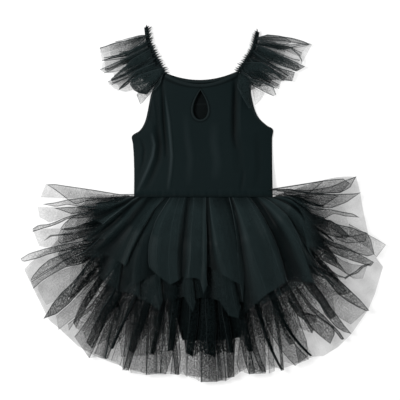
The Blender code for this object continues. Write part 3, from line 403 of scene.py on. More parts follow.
# Each tier's rows, the step between its columns and its small waves, how much one ply of it covers, the share
# of its length up to which it is as thick as at its root, its flat width, length and area in metres, and
# the seed of its draws.
Tier = namedtuple("Tier", "rows step wave ply_cover dense_to width length area seed")
TIERS = {
    "tier_1_front": Tier(26, 4.0, 0.05, 0.8, 0.4, 0.99, 0.218, 0.08, 11),
    "tier_2_front": Tier(28, 4.0, 0.06, 0.72, 0.4, 0.93, 0.224, 0.094, 12),
    "tier_3_front": Tier(34, 5.0, 0.08, 0.68, 0.62, 1.77, 0.315, 0.265, 13),
    "tier_4_front": Tier(38, 5.0, 0.08, 0.34, 0.6, 2.25, 0.336, 0.384, 14),
    "tier_4_back": Tier(34, 6.0, 0.08, 0.32, 0.0, 1.2, 0.334, 0.181, 15),
    "tier_3_back": Tier(24, 8.0, 0.08, 0.16, 0.0, 0.99, 0.269, 0.132, 16),
    "tier_2_back": Tier(20, 8.0, 0.08, 0.35, 0.0, 0.75, 0.19, 0.073, 17),
    "tier_1_back": Tier(18, 8.0, 0.08, 0.4, 0.0, 0.6, 0.145, 0.047, 18),
}
MOST_BUNCHED = 5.0  # the most plies that gathering lays on each other in a tier

# ---------------------------------------------------------------- the leotard
BODICE_ROWS = (  # its left edge's place and its right edge's, from the waist up
    (-124.4, 12, 124.8, 12), (-124.2, 30, 124.6, 31), (-124.2, 56, 124.2, 58), (-125, 84, 124, 90),
    (-126.6, 106, 124, 116), (-128, 120.6, 125.4, 132), (-113.9, 130.6, 113.6, 140),
    (-104.9, 145.8, 100.4, 152.6), (-100.2, 163.8, 92.6, 168.4), (-96.8, 181.8, 87.8, 188),
    (-93, 198, 84.6, 205.4), (-86.4, 213, 78.6, 219.4), (-80, 223.2, 73.2, 227.6),
    (-75.9, 230, 69.2, 233.4),
)
UNDERARM = 5
KNIT_WALL = 1.2
SEAM_GAP = 0.4
SEAT_SHARE = 0.066
SEAT_RISE = 3.4
FRONT_NECK_DROP = 17.4
BACK_NECK_DROP = 10.0
NECK_BEND_FROM = 7
NECK_BEND_FULL = 12
FLAT_FROM_Y = 101.0
BACK_LIFT_MIDDLE = 4.0
BACK_LIFT_SIDE = 3.2
# How late a curve bends: the leotard down to its side seams, its folds to their ends and sides, the neck, the
# gap inside a side seam, and the front up to its lip.
SIDE_POWER = 4
FOLD_END_POWER = 0.6
FOLD_SIDE_POWER = 8
NECK_POWER = 1.3
SEAM_POWER = 12
LIP_POWER = 1.5
FRONT_MIDDLE = 0.6  # the front's cloth lies this share of the wall above its underside
CROWN_WAIST = 7.6
CROWN_CHEST = 5.2
CROWN_NECK = 3.6
NECK_Y = 216.0

# A soft fold in the leotard: its height (a groove is below 0), half its width, and its line.
Fold = namedtuple("Fold", "height half_width line")
FRONT_FOLDS = table(
    Fold,
    (-3.6, 7, ((55.5, 226), (56.5, 205), (55, 160), (54.5, 120), (58, 96))),
    (-0.9, 12, ((62, 222), (62, 190), (60, 140), (62, 90), (66, 50))),
    (1, 4, ((66.5, 222), (68, 205), (66, 170), (66, 140), (68, 110))),
    (-3.4, 5.5, ((-76, 226), (-73.5, 200), (-71, 150), (-67.5, 108), (-66, 80))),
    (-1.3, 13, ((-86, 214), (-84, 170), (-80, 130), (-76, 100), (-74, 70))),
    (3, 3.6, ((-68.5, 196), (-62, 150), (-58.5, 112), (-56.5, 84), (-58.5, 56), (-63, 22))),
    (3.6, 3.8, ((-92, 126), (-87.5, 104), (-90.5, 84), (-99, 62), (-110, 38), (-121, 16))),
    (-2.4, 8, ((-84, 140), (-79, 104), (-82, 76), (-92, 50), (-106, 22))),
    (-1.8, 4, ((-112, 118), (-106, 96), (-108, 74), (-116, 52))),
    (1.1, 2.6, ((-92, 200), (-90, 180), (-87, 160), (-86, 140))),
    (-1.1, 2.6, ((-97, 186), (-95, 166), (-94, 146))),
    (0.7, 12, ((22, 146), (20, 110), (26, 74), (22, 40))),
    (0.6, 9, ((-30, 160), (-28, 120), (-22, 80), (-26, 30))),
    (-0.9, 9, ((96, 128), (98, 100), (100, 60), (94, 26))),
    (-1, 5, ((72, 60), (70, 40), (66, 18))),
)
BACK_FOLDS = table(
    Fold,
    (0.9, 8, ((38, 150), (36, 120), (44, 78), (50, 40))),
    (0.8, 7, ((-52, 134), (-56, 98), (-48, 60))),
)
PAINTED_SHADING_SHARE = 0.28  # painted light and shade: how much of its tone a fold changes for each millimetre
NECK_GROOVE_AT = 11.75  # painted shade under the neck binding, in rows of the bodice's table
NECK_GROOVE_HALF = 0.3
NECK_GROOVE_SHADE = 0.75
BINDING_SHADE = 0.35  # painted shade: how much darker the front is close round the keyhole's binding
BINDING_SHADE_TO = 6.0
# Painted shade along the lip, where the front rises over the skirt's seam.
LIP_SHADE = 0.5
LIP_SHADE_TO = 6.0

KEYHOLE_CENTRE = (-5.0, 176.4)
KEYHOLE_HALF_HEIGHT = 26.4
KEYHOLE_SWELL = 17.5
KEYHOLE_SPREAD = 1.25
KEYHOLE_BAND = 3.8
KEYHOLE_INSIDE = 0.3
KEYHOLE_RISE = 0.5
KEYHOLE_CUT = 1.6  # the panel is cut back this far under the binding
KEYHOLE_SIDES = 72
BACK_BINDING_RISE = 0.8  # it lies on the surface, clear of it
BACK_WRINKLE_Y = 178.0  # a fine crease of the back, seen through the keyhole, painted as a lighter line, a painted highlight
BACK_WRINKLE_HALF = 1.2
BACK_WRINKLE = 0.5
BODICE_CLOTH = 0.8
BODICE_COLUMNS = 112
BODICE_STEPS = 104
LIP_Y = 12.0  # from here to LIP_LENGTH above, the front rises over the skirt's seam
LIP_LENGTH = 13.0
LIP_Z = 16.3
LIP_PUFF = 2.4
LIP_PUFF_TO = 7.0
LIP_OVER_SKIRT = 1.8
WAIST_PUCKERS = ((0.28, 3.0, 17.0), (0.22, 11.0, 10.3), (0.15, 5.0, 6.7))  # height, shift and pitch
BAND_STEPS = 90
ARMHOLE_TOP = 0.4  # an armhole's binding ends this many rows of the bodice's table below its top
ARMHOLE_WIDTH = (0.022, 0.03)  # at its foot and at its top, as shares of the bodice's width
BINDING_ROLL = 3.2
BACK_BINDING_ROLL = 2.4
ROLL_SIDES = 12
ROLL_FLATTENED = 0.25
ROLL_CLOSES = 0.5  # a roll whose ends are no further apart is a closed ring
STITCH_LINE = 0.8  # the stitches run this share of the way across a binding
STITCH_FROM = 1.5
STITCH_PITCH = 2.9
STITCH_RISE = 0.75
STITCH_SIZE = (1.15, 0.3, 0.26)
STITCH_VARIES = 0.1  # how much longer or shorter one stitch is
STITCH_SEED = 5

BRIEF_ROWS = (  # a share of the way to the longest hem, and half the brief's angle there
    (0, 84), (0.05, 78), (0.14, 67), (0.25, 53), (0.31, 44), (0.38, 30), (0.52, 19), (0.66, 13),
    (0.775, 10.4),
)
BRIEF_CLOTH = 0.7
BRIEF_TURN = 3.4
BRIEF_LIFT = 0.5
BRIEF_GATHERS = 0.5
BRIEF_GATHER_TURN = 11.0  # how far their waves turn from row to row
BRIEF_GATHER_POWER = 8  # how close to the edges they keep
BRIEF_GATHERS_FROM = 0.1
BRIEF_CROWN = 0.3
BRIEF_BINDING = 1.8
BRIEF_COLUMNS = 44
BRIEF_STEPS = 56
BRIEF_SHADE_DIM = 0.25  # painted shade: the brief, lying under the net, is this bright beside the bodice

# ---------------------------------------------------------------- the straps and frills
Sleeve = namedtuple("Sleeve", "foot top folds")
# In these rows of fingers the root is a share of the way up the strap.
SLEEVES = {
    "left": Sleeve((-71.2, 231.9), (-102.6, 315.0), table(
        Finger,
        (0.01, -100, 202, -114, 180, 2, 15, 6, 0, 1), (0.06, -103, 212, -119, 199, 1, 18, 18, 5),
        (0.15, -105, 228, -131, 214, 8, 20, 10), (0.27, -117.5, 230.5, -154.5, 202.5, 4, 5),
        (0.37, -128.5, 234, -169, 217, 1, 9, 8), (0.48, -123, 247, -164, 225.5, 6, 14),
        (0.6, -132, 253, -180, 236, 1, 9, 8), (0.72, -128.5, 270, -183, 255.5, 0, 6),
        (0.86, -141, 281, -187, 268.5, 0, 20, 20, 0, 1),
    )),
    "right": Sleeve((65.0, 235.2), (97.4, 306.6), table(
        Finger,
        (0.02, 79, 203, 91.5, 179, 0, 26, 24, 0, 1), (0.1, 98.5, 211, 129, 195, 2, 13, 9),
        (0.19, 97, 229, 122, 214, 4, 22, 14), (0.3, 107, 223, 137, 207, 3, 10, 9),
        (0.4, 113, 240, 151, 221.5, 3, 11, 8), (0.49, 120, 249, 157, 227, 5, 5),
        (0.58, 129, 260, 177, 240.5, 3, 15, 5), (0.73, 142, 275.5, 180, 262.5, 0, 15, 15, 0, 1),
        (0.88, 140, 289.5, 195, 285, 0, 20),
    )),
}
FRILL_LEAVES = {
    "left": table(
        Leaf,
        (0.9, 1.5, 0.8, (-103, 300, -119, 299, -137, 293, -163, 286, -186, 278),
         (-101, 287, -117, 285, -127, 276, -145, 266, -159, 263, -182, 255), 1.2),
        (0.5, 1, 0.8, (-103, 299, -119, 299, -137, 293, -153, 289, -169, 284),
         (-101, 287, -117, 285, -127, 276, -145, 268, -166, 263), 0.3),
        (0.9, 5, 3, (-101, 293, -117, 283, -131, 274, -153, 267, -169, 261, -182, 255),
         (-99, 283, -119, 272, -135, 263, -151, 263, -167, 259, -182, 255), 1.2),
        (0.3, 1, 0.6, (-99, 273, -141, 264, -157, 258, -181, 253),
         (-95, 253, -145, 249, -159, 243, -183, 239), 0.2),
        (0.7, 5, 1.2, (-99, 281, -121, 271, -141, 260, -157, 253, -186, 240),
         (-97, 267, -121, 264, -133, 259, -147, 251, -161, 240, -177, 233), 1.4),
        (0.9, 6, 4, (-95, 277, -117, 265, -129, 258, -139, 247, -153, 233, -166, 223),
         (-91, 259, -111, 247, -131, 237, -145, 228, -155, 225, -166, 223), 1.2),
        (0.6, 4, 1.1, (-91, 257, -121, 239, -141, 233, -157, 225, -172, 218),
         (-87, 245, -111, 235, -127, 227, -147, 220, -164, 212), 1.3),
        (0.8, 5, 2.4, (-87, 253, -121, 238, -133, 225, -141, 213, -155, 201),
         (-83, 243, -117, 229, -129, 220, -139, 210, -155, 201), 1.4),
        (0.3, 1.5, 0.8, (-87, 237, -127, 229, -157, 219, -171, 215),
         (-83, 221, -117, 211, -129, 203, -139, 200, -159, 205), 0.4),
        (0.9, 8, 8, (-73, 243, -97, 237, -117, 229, -129, 221, -132, 213),
         (-69, 235, -79, 221, -91, 207, -101, 195, -115, 197, -125, 203, -132, 213)),
        (0.4, 3.4, 1.1, (-83, 221, -99, 213, -113, 201, -120, 195, -113, 177),
         (-71, 229, -87, 209, -95, 197, -107, 183, -113, 177), 1),
    ),
    "right": table(
        Leaf,
        (0.9, 1.4, 1.5, (99, 297, 115, 303, 135, 301, 155, 297, 175, 291, 195, 285),
         (99, 293, 125, 292, 145, 291, 163, 288, 181, 285, 195, 285), 1.4),
        (0.7, 2.6, 1.6, (99, 294, 125, 290, 135, 287, 157, 285, 175, 287, 195, 285),
         (99, 288, 121, 279, 135, 275, 153, 277, 173, 283, 195, 285), 1.4),
        (0.3, 0.9, 0.7, (101, 287, 135, 279, 157, 281, 175, 283, 195, 284),
         (101, 283, 113, 281, 131, 267, 155, 256, 177, 250), 0.5),
        (0.5, 0.6, 0.5, (125, 283, 157, 281, 173, 267, 178, 257, 177, 251),
         (125, 281, 153, 281, 170, 266, 176, 256, 177, 251), 1.3),
        (0.9, 6, 3, (97, 285, 121, 275, 135, 267, 161, 256, 183, 245),
         (95, 273, 121, 258, 141, 246, 157, 241, 167, 236, 183, 245)),
        (0.5, 6, 2.8, (93, 269, 125, 247, 145, 241, 165, 235),
         (93, 259, 121, 239, 141, 221, 160, 219), 1.5),
        (0.8, 6, 3.4, (77, 253, 105, 253, 125, 239, 141, 227, 142, 221),
         (67, 237, 95, 227, 121, 221, 137, 223, 142, 221), 1.2),
        (0.4, 3, 1, (85, 237, 105, 223, 123, 223, 141, 221), (85, 229, 111, 216, 125, 212, 136, 205), 0.8),
        (0.7, 5, 1.1, (68, 235, 91, 221, 111, 217, 125, 211, 131, 195),
         (68, 231, 85, 213, 103, 203, 115, 197, 126, 192), 1.5),
        (0.3, 1, 0.8, (75, 225, 86, 209, 111, 199, 105, 187, 94, 176),
         (75, 221, 88, 203, 92, 185, 94, 176), 0.4),
        (1, 7, 5, (66, 233, 64, 214, 66, 198, 72, 187, 82, 170),
         (82, 226, 86, 215, 86, 200, 86, 184, 88, 170), 1),
    ),
}
STRAP_WIDTH = 7.0
STRAP_WALL = 1.2
STRAP_CLOTH = 1.0
STRAP_BACK_Z = 2.1
STRAP_FRONT_Z = 4.5
STRAP_SETTLES = 0.22
STRAP_BOW = 6.0  # the gathering draws a strap aside from the neck by this, most a little above its middle
STRAP_STEPS = 22
STRAP_RIBS = 5
STRAP_RIB_RISE = 0.12
STRAP_FOLD_TURNS = range(-75, 90, 15)
# Half a frill: how high its root and its hem lie, how deep its layer is at each, the same two of its header,
# the first of the sleeve's folds that it has, the share of their length that it reaches, and its flat size
# and area in metres.
FRILL_VALUES = "root_base hem_base root_depth hem_depth header_base header_depth first reach flat area"
Frill = namedtuple("Frill", FRILL_VALUES)
FRILLS = {
    "front": Frill(6.1, 4.6, 3.4, 7.0, 6.1, 3.4, 0, 0.62, (0.33, 0.106), 0.024),
    "back": Frill(0.3, 0.3, 1.4, 3.6, 0.3, 1.7, 2, 0.95, (0.165, 0.105), 0.0118),
}
FRILL_ROWS = 22
FRILL_STEP = 3.0
FRILL_WAVE = 0.06
FRILL_STRAY = 1.2
FRILL_COVER = 0.36
FRILL_BUNCHED = 3.2
FRILL_MIDS = (0.3, 0.7)
FRILL_DENSE_TO = 0.1
FRILL_PLIES = (3.8, 0.75)  # at the strap and at the hem
FRILL_THINS_FROM = 0.58  # up the strap from here, a frill's bunched part thins over FRILL_THINS_OVER
FRILL_THINS_OVER = 0.2
FRILL_TOP_PLIES = 0.3
FRILL_OVER_BODICE = 1.9
HEADER_ROWS = 7
HEADER_SPIKES = 22
HEADER_WIDTH = 11.5
HEADER_SPIKE = (0.7, 1.15)  # a spike's length and a notch's, beside that width
HEADER_NOTCH = (0.3, 0.42)
HEADER_SWAY = 0.16
HEADER_UPRIGHT = 0.35
HEADER_TILT = 0.5
HEADER_PAST_TOP = 1.06
HEADER_TOP_TURN = 1.2  # how much further its last spikes turn, past the strap's top
HEADER_NARROWS_OVER = 0.07  # it narrows over this last share of the strap
HEADER_NARROWS = 0.35
HEADER_PLIES = (7.0, 1.8)

# ---------------------------------------------------------------- the stage, in metres but for its centre
VIEW_CENTRE = (-5.85, 5.4)
FLOOR_HALF = 6.0
SENSOR_WIDTH = 36.0
# A light's name, its share of the window's power, its width and its place.
LIGHTS = (("window", 1.0, 1.2, (-1.9, 0.7, 2.3)), ("reflector", 0.2, 1.4, (2.2, 0.6, 1.4)))


# ---------------------------------------------------------------- small helpers
def mix(a, b, share):
    return a + (b - a) * share


def part_way(a, b, share=0.5):
    """The place at this share of the way from one to the other."""
    return tuple(mix(p, q, share) for p, q in zip(a, b))


def line_between(a, b, share=0.5):
    return [part_way(p, q, share) for p, q in zip(a, b)]


def limited(value, low=0.0, high=1.0):
    return min(high, max(low, value))


def smooth(share):
    share = limited(share)
    return share * share * (3.0 - 2.0 * share)


def between(stops, values, at):
    """The value at a place along rising stops, straight from one to the next."""
    if at <= stops[0]:
        return values[0]
    for i in range(1, len(stops)):
        if at <= stops[i]:
            return mix(values[i - 1], values[i], (at - stops[i - 1]) / (stops[i] - stops[i - 1]))
    return values[-1]


def curved(values, at):
    """The value at a place along evenly spaced stops, on a smooth curve through them."""
    i = min(int(at), len(values) - 2)
    t = at - i
    a, b = values[max(i - 1, 0)], values[i]
    c, d = values[i + 1], values[min(i + 2, len(values) - 1)]
    return 0.5 * (2 * b + (c - a) * t + (2 * a - 5 * b + 4 * c - d) * t * t + (3 * b - a - 3 * c + d) * t**3)


def through(start, mid, end, at_mid, t):
    """The value at t of the parabola that is start at 0, mid at at_mid and end at 1."""
    first = (mid - start) / at_mid
    bend = (end - mid) / (1.0 - at_mid) - first
    return start + first * t + bend * t * (t - at_mid)


# ---------------------------------------------------------------- finishes
class Wire:
    """A value in a finish's node tree. Arithmetic on it adds Math nodes."""

    def __init__(self, finish, socket):
        self.finish = finish
        self.socket = socket

    def math(self, operation, *values, clamp=False):
        inputs = dict(enumerate(values))
        return self.finish.add("ShaderNodeMath", {"operation": operation, "use_clamp": clamp}, inputs)

    def __add__(self, other):
        return self.math("ADD", self, other)

    __radd__ = __add__

    def __sub__(self, other):
        return self.math("SUBTRACT", self, other)

    def __rsub__(self, other):
        return self.math("SUBTRACT", other, self)

    def __mul__(self, other):
        return self.math("MULTIPLY", self, other)

    __rmul__ = __mul__

    def __pow__(self, other):
        return self.math("POWER", self, other)

    def clamped(self):
        return self.math("ADD", self, 0.0, clamp=True)

    def waves(self, pitch):
        """A sine of this value that repeats each pitch."""
        return self.math("SINE", self * (2.0 * pi / pitch))

    def falls(self, full, gone):
        """1 up to the value full, easing to 0 at the value gone."""
        ends = {"Value": self, "From Min": full, "From Max": gone, "To Min": 1.0, "To Max": 0.0}
        return self.finish.add("ShaderNodeMapRange", {"interpolation_type": "SMOOTHSTEP"}, ends)


class Finish:
    """A material and its node tree, with one way to add a node."""

    def __init__(self, name):
        self.material = bpy.data.materials.new(name)
        self.material.use_nodes = True
        self.tree = self.material.node_tree
        self.shader = self.tree.nodes["Principled BSDF"]

    def add(self, kind, settings=None, inputs=None, output=0):
        node = self.tree.nodes.new(kind)
        for key, value in (settings or {}).items():
            setattr(node, key, value)
        for key, value in (inputs or {}).items():
            self.feed(node.inputs[key], value)
        return Wire(self, node.outputs[output])

    def feed(self, socket, value):
        if isinstance(value, Wire):
            self.tree.links.new(value.socket, socket)
        else:
            socket.default_value = value

    def surface(self, **values):
        """Sets the shader's sockets: Base_Color is the socket Base Color."""
        for key, value in values.items():
            self.feed(self.shader.inputs[key.replace("_", " ")], value)
        return self.material

    def place(self):
        return self.add("ShaderNodeTexCoord", output="Object")

    def attribute(self, name):
        return self.add("ShaderNodeAttribute", {"attribute_name": name}, output="Fac")

    def noise(self, vector, scale, detail, dimensions="3D"):
        inputs = {"Vector": vector, "Scale": scale, "Detail": detail}
        return self.add("ShaderNodeTexNoise", {"noise_dimensions": dimensions}, inputs)

    def blend(self, factor, a, b):
        return self.add("ShaderNodeMix", {"data_type": "RGBA"}, {0: factor, 6: a, 7: b}, output=2)

    def bump(self, height, strength, distance):
        inputs = {"Strength": strength, "Distance": distance, "Height": height}
        return self.add("ShaderNodeBump", None, inputs)


def solid(colour, dim=1.0):
    return (*(colour * dim), 1.0)


# The tulle's pattern, beside the looks that can be changed.
HOLE_RANDOMNESS = 0.25
THREAD_FADES = (0.5, 1.5)  # the thread fades out between these shares of its own half width
DRIFT_FINENESS = 0.11  # slow clouds of density, beside the speckles' fineness and strength
DRIFT_STRENGTH = 0.4
STREAK_FLATNESS = 0.04  # a streak's width, beside its length
SPECKLE_FROM = 1.6  # how soon net that covers more is fully speckled
WEAVE_CLOSED = 0.45  # the share of the net's cover that its holes don't take away
LINE_FULL = 0.3  # the share of a fold's line that is full
SHADE_BY_HEIGHT_GAIN = 1.7  # painted light and shade: the net's tone grows this much with its height, lit on its crests and shaded in its valleys, half of the streaks', less TONE_FROM
TONE_FROM = 0.42
# How fine the fibres and clouds are, and how much each adds to a cloth's tone.
NET_FUZZ = 900.0
NET_FUZZ_RISE = 0.15
JERSEY_FUZZ = 1400.0
JERSEY_CLOUDS = 9.0
CLOUD_TONE = 0.6
FUZZ_TONE = 0.25
STITCH_TONE = 0.15
WALE_RISE = 0.7
COURSE_RISE = 0.3
COURSE_BENDS = 0.12  # how far a row of stitches bends at each column, in stitches
TAPE_FUZZ = 1800.0
TAPE_FUZZ_TONE = 0.4
TAPE_RIB_TONE = 0.6


def net_finish(name, looks, dim, speckled, pleated, lined=1.0):
    """Fine tulle: small holes, denser where it is bunched, with painted shade darker in the valleys and
    lighter on raised net, and a denser line along each fold with a painted highlight in its colour, which
    shows by the share lined where the net is dense."""
    net = Finish(name)
    cloth = net.add("ShaderNodeUVMap", {"uv_map": "Cloth"})
    cover, from_fold, lift = (net.attribute(key) for key in NET_LAYERS)
    edge = net.add(
        "ShaderNodeTexVoronoi",
        {"voronoi_dimensions": "2D", "feature": "DISTANCE_TO_EDGE"},
        {"Vector": cloth, "Scale": 1.0 / looks.pitch, "Randomness": HOLE_RANDOMNESS},
        output="Distance",
    )
    thread = edge.falls(*(looks.thread * share for share in THREAD_FADES))
    speckle = net.noise(cloth, 1.0 / looks.mottle_size, 2.0, "2D") - 0.5
    drift = net.noise(cloth, DRIFT_FINENESS / looks.mottle_size, 2.0, "2D") - 0.5
    stretch = (1.0 / looks.streak_width, STREAK_FLATNESS / looks.streak_width, 1.0)
    drawn_out = net.add("ShaderNodeVectorMath", {"operation": "MULTIPLY"}, {0: cloth, 1: stretch})
    streaks = (net.noise(drawn_out, 1.0, 2.5, "2D") - 0.5) * (looks.streaks * pleated)
    speckle = speckle * (looks.mottle * speckled) * (cover * SPECKLE_FROM).clamped()
    plies = 1.0 + speckle + drift * (looks.mottle * DRIFT_STRENGTH) + streaks
    covered = 1.0 - (1.0 - cover.clamped()) ** ((plies * 0.5).clamped() * 2.0)
    weave = mix(thread * (1.0 / looks.thread_share), 1.0, WEAVE_CLOSED)
    filled = ((covered - looks.dense_from) * (1.0 / (1.0 - looks.dense_from))).clamped()
    open_cloth = (covered * weave).clamped() * (1.0 - filled) + covered * filled
    # The line along a fold is denser net; its colour is a painted highlight, the light that the fold's edge
    # catches.
    near_fold = from_fold.falls(looks.fold_line * LINE_FULL, looks.fold_line)
    line = near_fold * (looks.fold_dark + streaks).clamped()
    alpha = 1.0 - (1.0 - open_cloth) * (1.0 - line)
    # Painted shade: the net is blended from its shaded valley colour to its lit colour by its height and the
    # streaks.
    lit_share = (lift * SHADE_BY_HEIGHT_GAIN + streaks * 0.5 - TONE_FROM).clamped()
    body = net.blend(lit_share, solid(looks.valley, dim), solid(looks.colour, dim))
    fuzz = net.noise(cloth, NET_FUZZ, 3.0, "2D")
    return net.surface(
        Base_Color=net.blend(line * (1.0 - filled * (1.0 - lined)), body, solid(looks.fold_highlight_colour, dim)),
        Roughness=looks.gloss,
        Specular_IOR_Level=looks.shine * dim,
        Sheen_Weight=looks.sheen * dim,
        Sheen_Roughness=0.45,
        Alpha=alpha.clamped(),
        Normal=net.bump(fuzz * NET_FUZZ_RISE + streaks, strength=0.5, distance=0.001),
    )


def knit_finish(name, looks, dim=1.0):
    """Fine jersey: columns of small stitches, a soft sheen, painted shade in its grooves and a painted
    highlight on its folds.
    """
    knit = Finish(name)
    place = knit.place()
    across, along = (knit.add("ShaderNodeSeparateXYZ", None, {0: place}, output=axis) for axis in "XY")
    painted_shading = knit.attribute("painted_shading")
    wale = across.waves(looks.wale)
    course = (along + wale * (looks.course * COURSE_BENDS)).waves(looks.course)
    stitches = wale * wale * WALE_RISE + course * COURSE_RISE
    slow = knit.noise(place, JERSEY_CLOUDS, 3.0)
    fuzz = knit.noise(place, JERSEY_FUZZ, 2.0)
    tone = (slow * CLOUD_TONE + fuzz * FUZZ_TONE + stitches * STITCH_TONE).clamped()
    body = knit.blend(tone, solid(looks.shade, dim), solid(looks.colour, dim))
    # Painted shade in the grooves, then a painted highlight on the crests.
    groove_shade = knit.blend((painted_shading * -1.0).clamped(), body, solid(looks.groove, dim))
    return knit.surface(
        Base_Color=knit.blend(painted_shading.clamped(), groove_shade, solid(looks.ridge_highlight, dim)),
        Roughness=(fuzz * 0.2 + 0.45).clamped(),
        Specular_IOR_Level=0.04,
        Sheen_Weight=0.006,
        Sheen_Roughness=0.4,
        Normal=knit.bump(stitches + fuzz * 0.5, strength=0.3, distance=0.0002),
    )


def elastic_finish(name, looks):
    """Binding and elastic tape: fine ribs of the same thread."""
    tape = Finish(name)
    place = tape.place()
    bands = {"Vector": place, "Scale": 0.3 / looks.wale, "Distortion": 0.6, "Detail": 2.0}
    ribs = tape.add("ShaderNodeTexWave", {"bands_direction": "DIAGONAL"}, bands, output="Fac")
    fuzz = tape.noise(place, TAPE_FUZZ, 2.0)
    tone = (ribs * TAPE_RIB_TONE + fuzz * TAPE_FUZZ_TONE).clamped()
    return tape.surface(
        Base_Color=tape.blend(tone, solid(looks.shade), solid(looks.colour)),
        Roughness=0.6,
        Specular_IOR_Level=0.1,
        Normal=tape.bump(ribs + fuzz * 0.5, strength=0.3, distance=0.0002),
    )


def floor_finish(colour, glow):
    """Matt white card with the faintest tooth, lit a little from below as a light table is."""
    card = Finish("floor_card")
    return card.surface(
        Base_Color=solid(colour),
        Roughness=0.9,
        Specular_IOR_Level=0.1,
        Emission_Color=(1.0, 1.0, 1.0, 1.0),
        Emission_Strength=glow,
        Normal=card.bump(card.noise(card.place(), 60.0, 4.0), strength=0.05, distance=0.001),
    )


# ---------------------------------------------------------------- meshes
def place_in_scene(name, data, place=(0.0, 0.0, 0.0)):
    thing = bpy.data.objects.new(name, data)
    thing.location = place
    bpy.context.scene.collection.objects.link(thing)
    return thing


def new_piece(name, bm, finish, node):
    """Makes the mesh a piece of the dress that stands for this solid."""
    mesh = bpy.data.meshes.new(name)
    bm.to_mesh(mesh)
    bm.free()
    mesh.shade_smooth()
    mesh.materials.append(finish)
    piece = place_in_scene(name, mesh)
    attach(piece, BODY)
    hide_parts(node)
    return piece


def lay_grid(bm, rows):
    """A grid of faces on rows of (x, y, z) in millimetres. The faces look up where x grows along a row and y
    falls from row to row. Returns its vertices, row by row."""
    count = len(rows[0])
    made = bmesh.ops.create_grid(bm, x_segments=count - 1, y_segments=len(rows) - 1, size=1.0)["verts"]
    faces = {face for vert in made for face in vert.link_faces}
    bmesh.ops.reverse_faces(bm, faces=list(faces))
    grid = [made[i * count:(i + 1) * count] for i in range(len(rows))]
    for verts, places in zip(grid, rows):
        for vert, place in zip(verts, places):
            vert.co = Vector(place) * MM
    return grid


def thicken(piece, thickness):
    shell = piece.modifiers.new("cloth thickness", "SOLIDIFY")
    shell.thickness = thickness * MM
    shell.offset = 0.0
    return shell


# ---------------------------------------------------------------- gathered net
# A line of gathered net: its places as (x, y, depth) from root to hem, its height in its layer, how sharply
# the net is folded along it, from 0 to 1, and how many plies thick it counts at its root and at its hem.
Line = namedtuple("Line", "places height folded plies")
Plies = namedtuple("Plies", "root hem")
ONE_PLY = Plies(1.0, 1.0)
# Lift is a line's height in its layer; it also sets the net's painted light and shade.
NET_LAYERS = ("cover", "from_fold", "lift")
ROOT_SHADE = 0.6  # painted shade: the net is this much darker at its root, in the shade at its seam, up to ROOT_SHADE_TO of its length
ROOT_SHADE_TO = 0.2
FAINT_FOLD = 1.3  # a crease that is hardly folded counts as this far away, in millimetres
FOLD_REACH = 50.0  # and a fold further away than this, or none, as this far
WAVE_FROM = 0.12  # small waves start with this share of their rise at the root
BUNCH_SPAN = 3  # how bunched the net is, is measured over this many columns on each side
LEAST_WIDTH = 0.05


def sheet_rows(lines, level, step, wave, dice):
    """Fills in the net between its lines. Returns rows of points, and what is known of each column: its line,
    the share of the way to the next, how sharp a fold it lies on, its plies and its height."""
    columns = []
    last = len(lines[0].places) - 1
    for i, (a, b) in enumerate(zip(lines, lines[1:])):
        gap = max(dist(a.places[k][:2], b.places[k][:2]) for k in (last, (last + 1) // 2))
        count = max(1, round(gap / step))
        for j in range(count):
            share = j / count
            plies = Plies(*part_way(a.plies, b.plies, share))
            columns.append((i, share, 0.0 if j else a.folded, plies, mix(a.height, b.height, smooth(share))))
    columns.append((len(lines) - 2, 1.0, lines[-1].folded, lines[-1].plies, lines[-1].height))
    rows = [[] for _ in lines[0].places]
    for i, share, _, _, height in columns:
        ripple = dice.uniform(-wave, wave) if 0.0 < share < 1.0 else 0.0
        for k, row in enumerate(rows):
            x, y, depth = part_way(lines[i].places[k], lines[i + 1].places[k], share)
            base, room = level(x, y, depth)
            fade = sin(pi * min(1.0, k / last + WAVE_FROM)) ** 0.5 if k < last else 0.0
            row.append((x, y, base + room * limited(height + ripple * fade)))
    return rows, columns


def run_lengths(row):
    """How far along the net each point of a row lies from the first."""
    lengths = [0.0]
    for a, b in zip(row, row[1:]):
        lengths.append(lengths[-1] + dist(a, b))
    return lengths


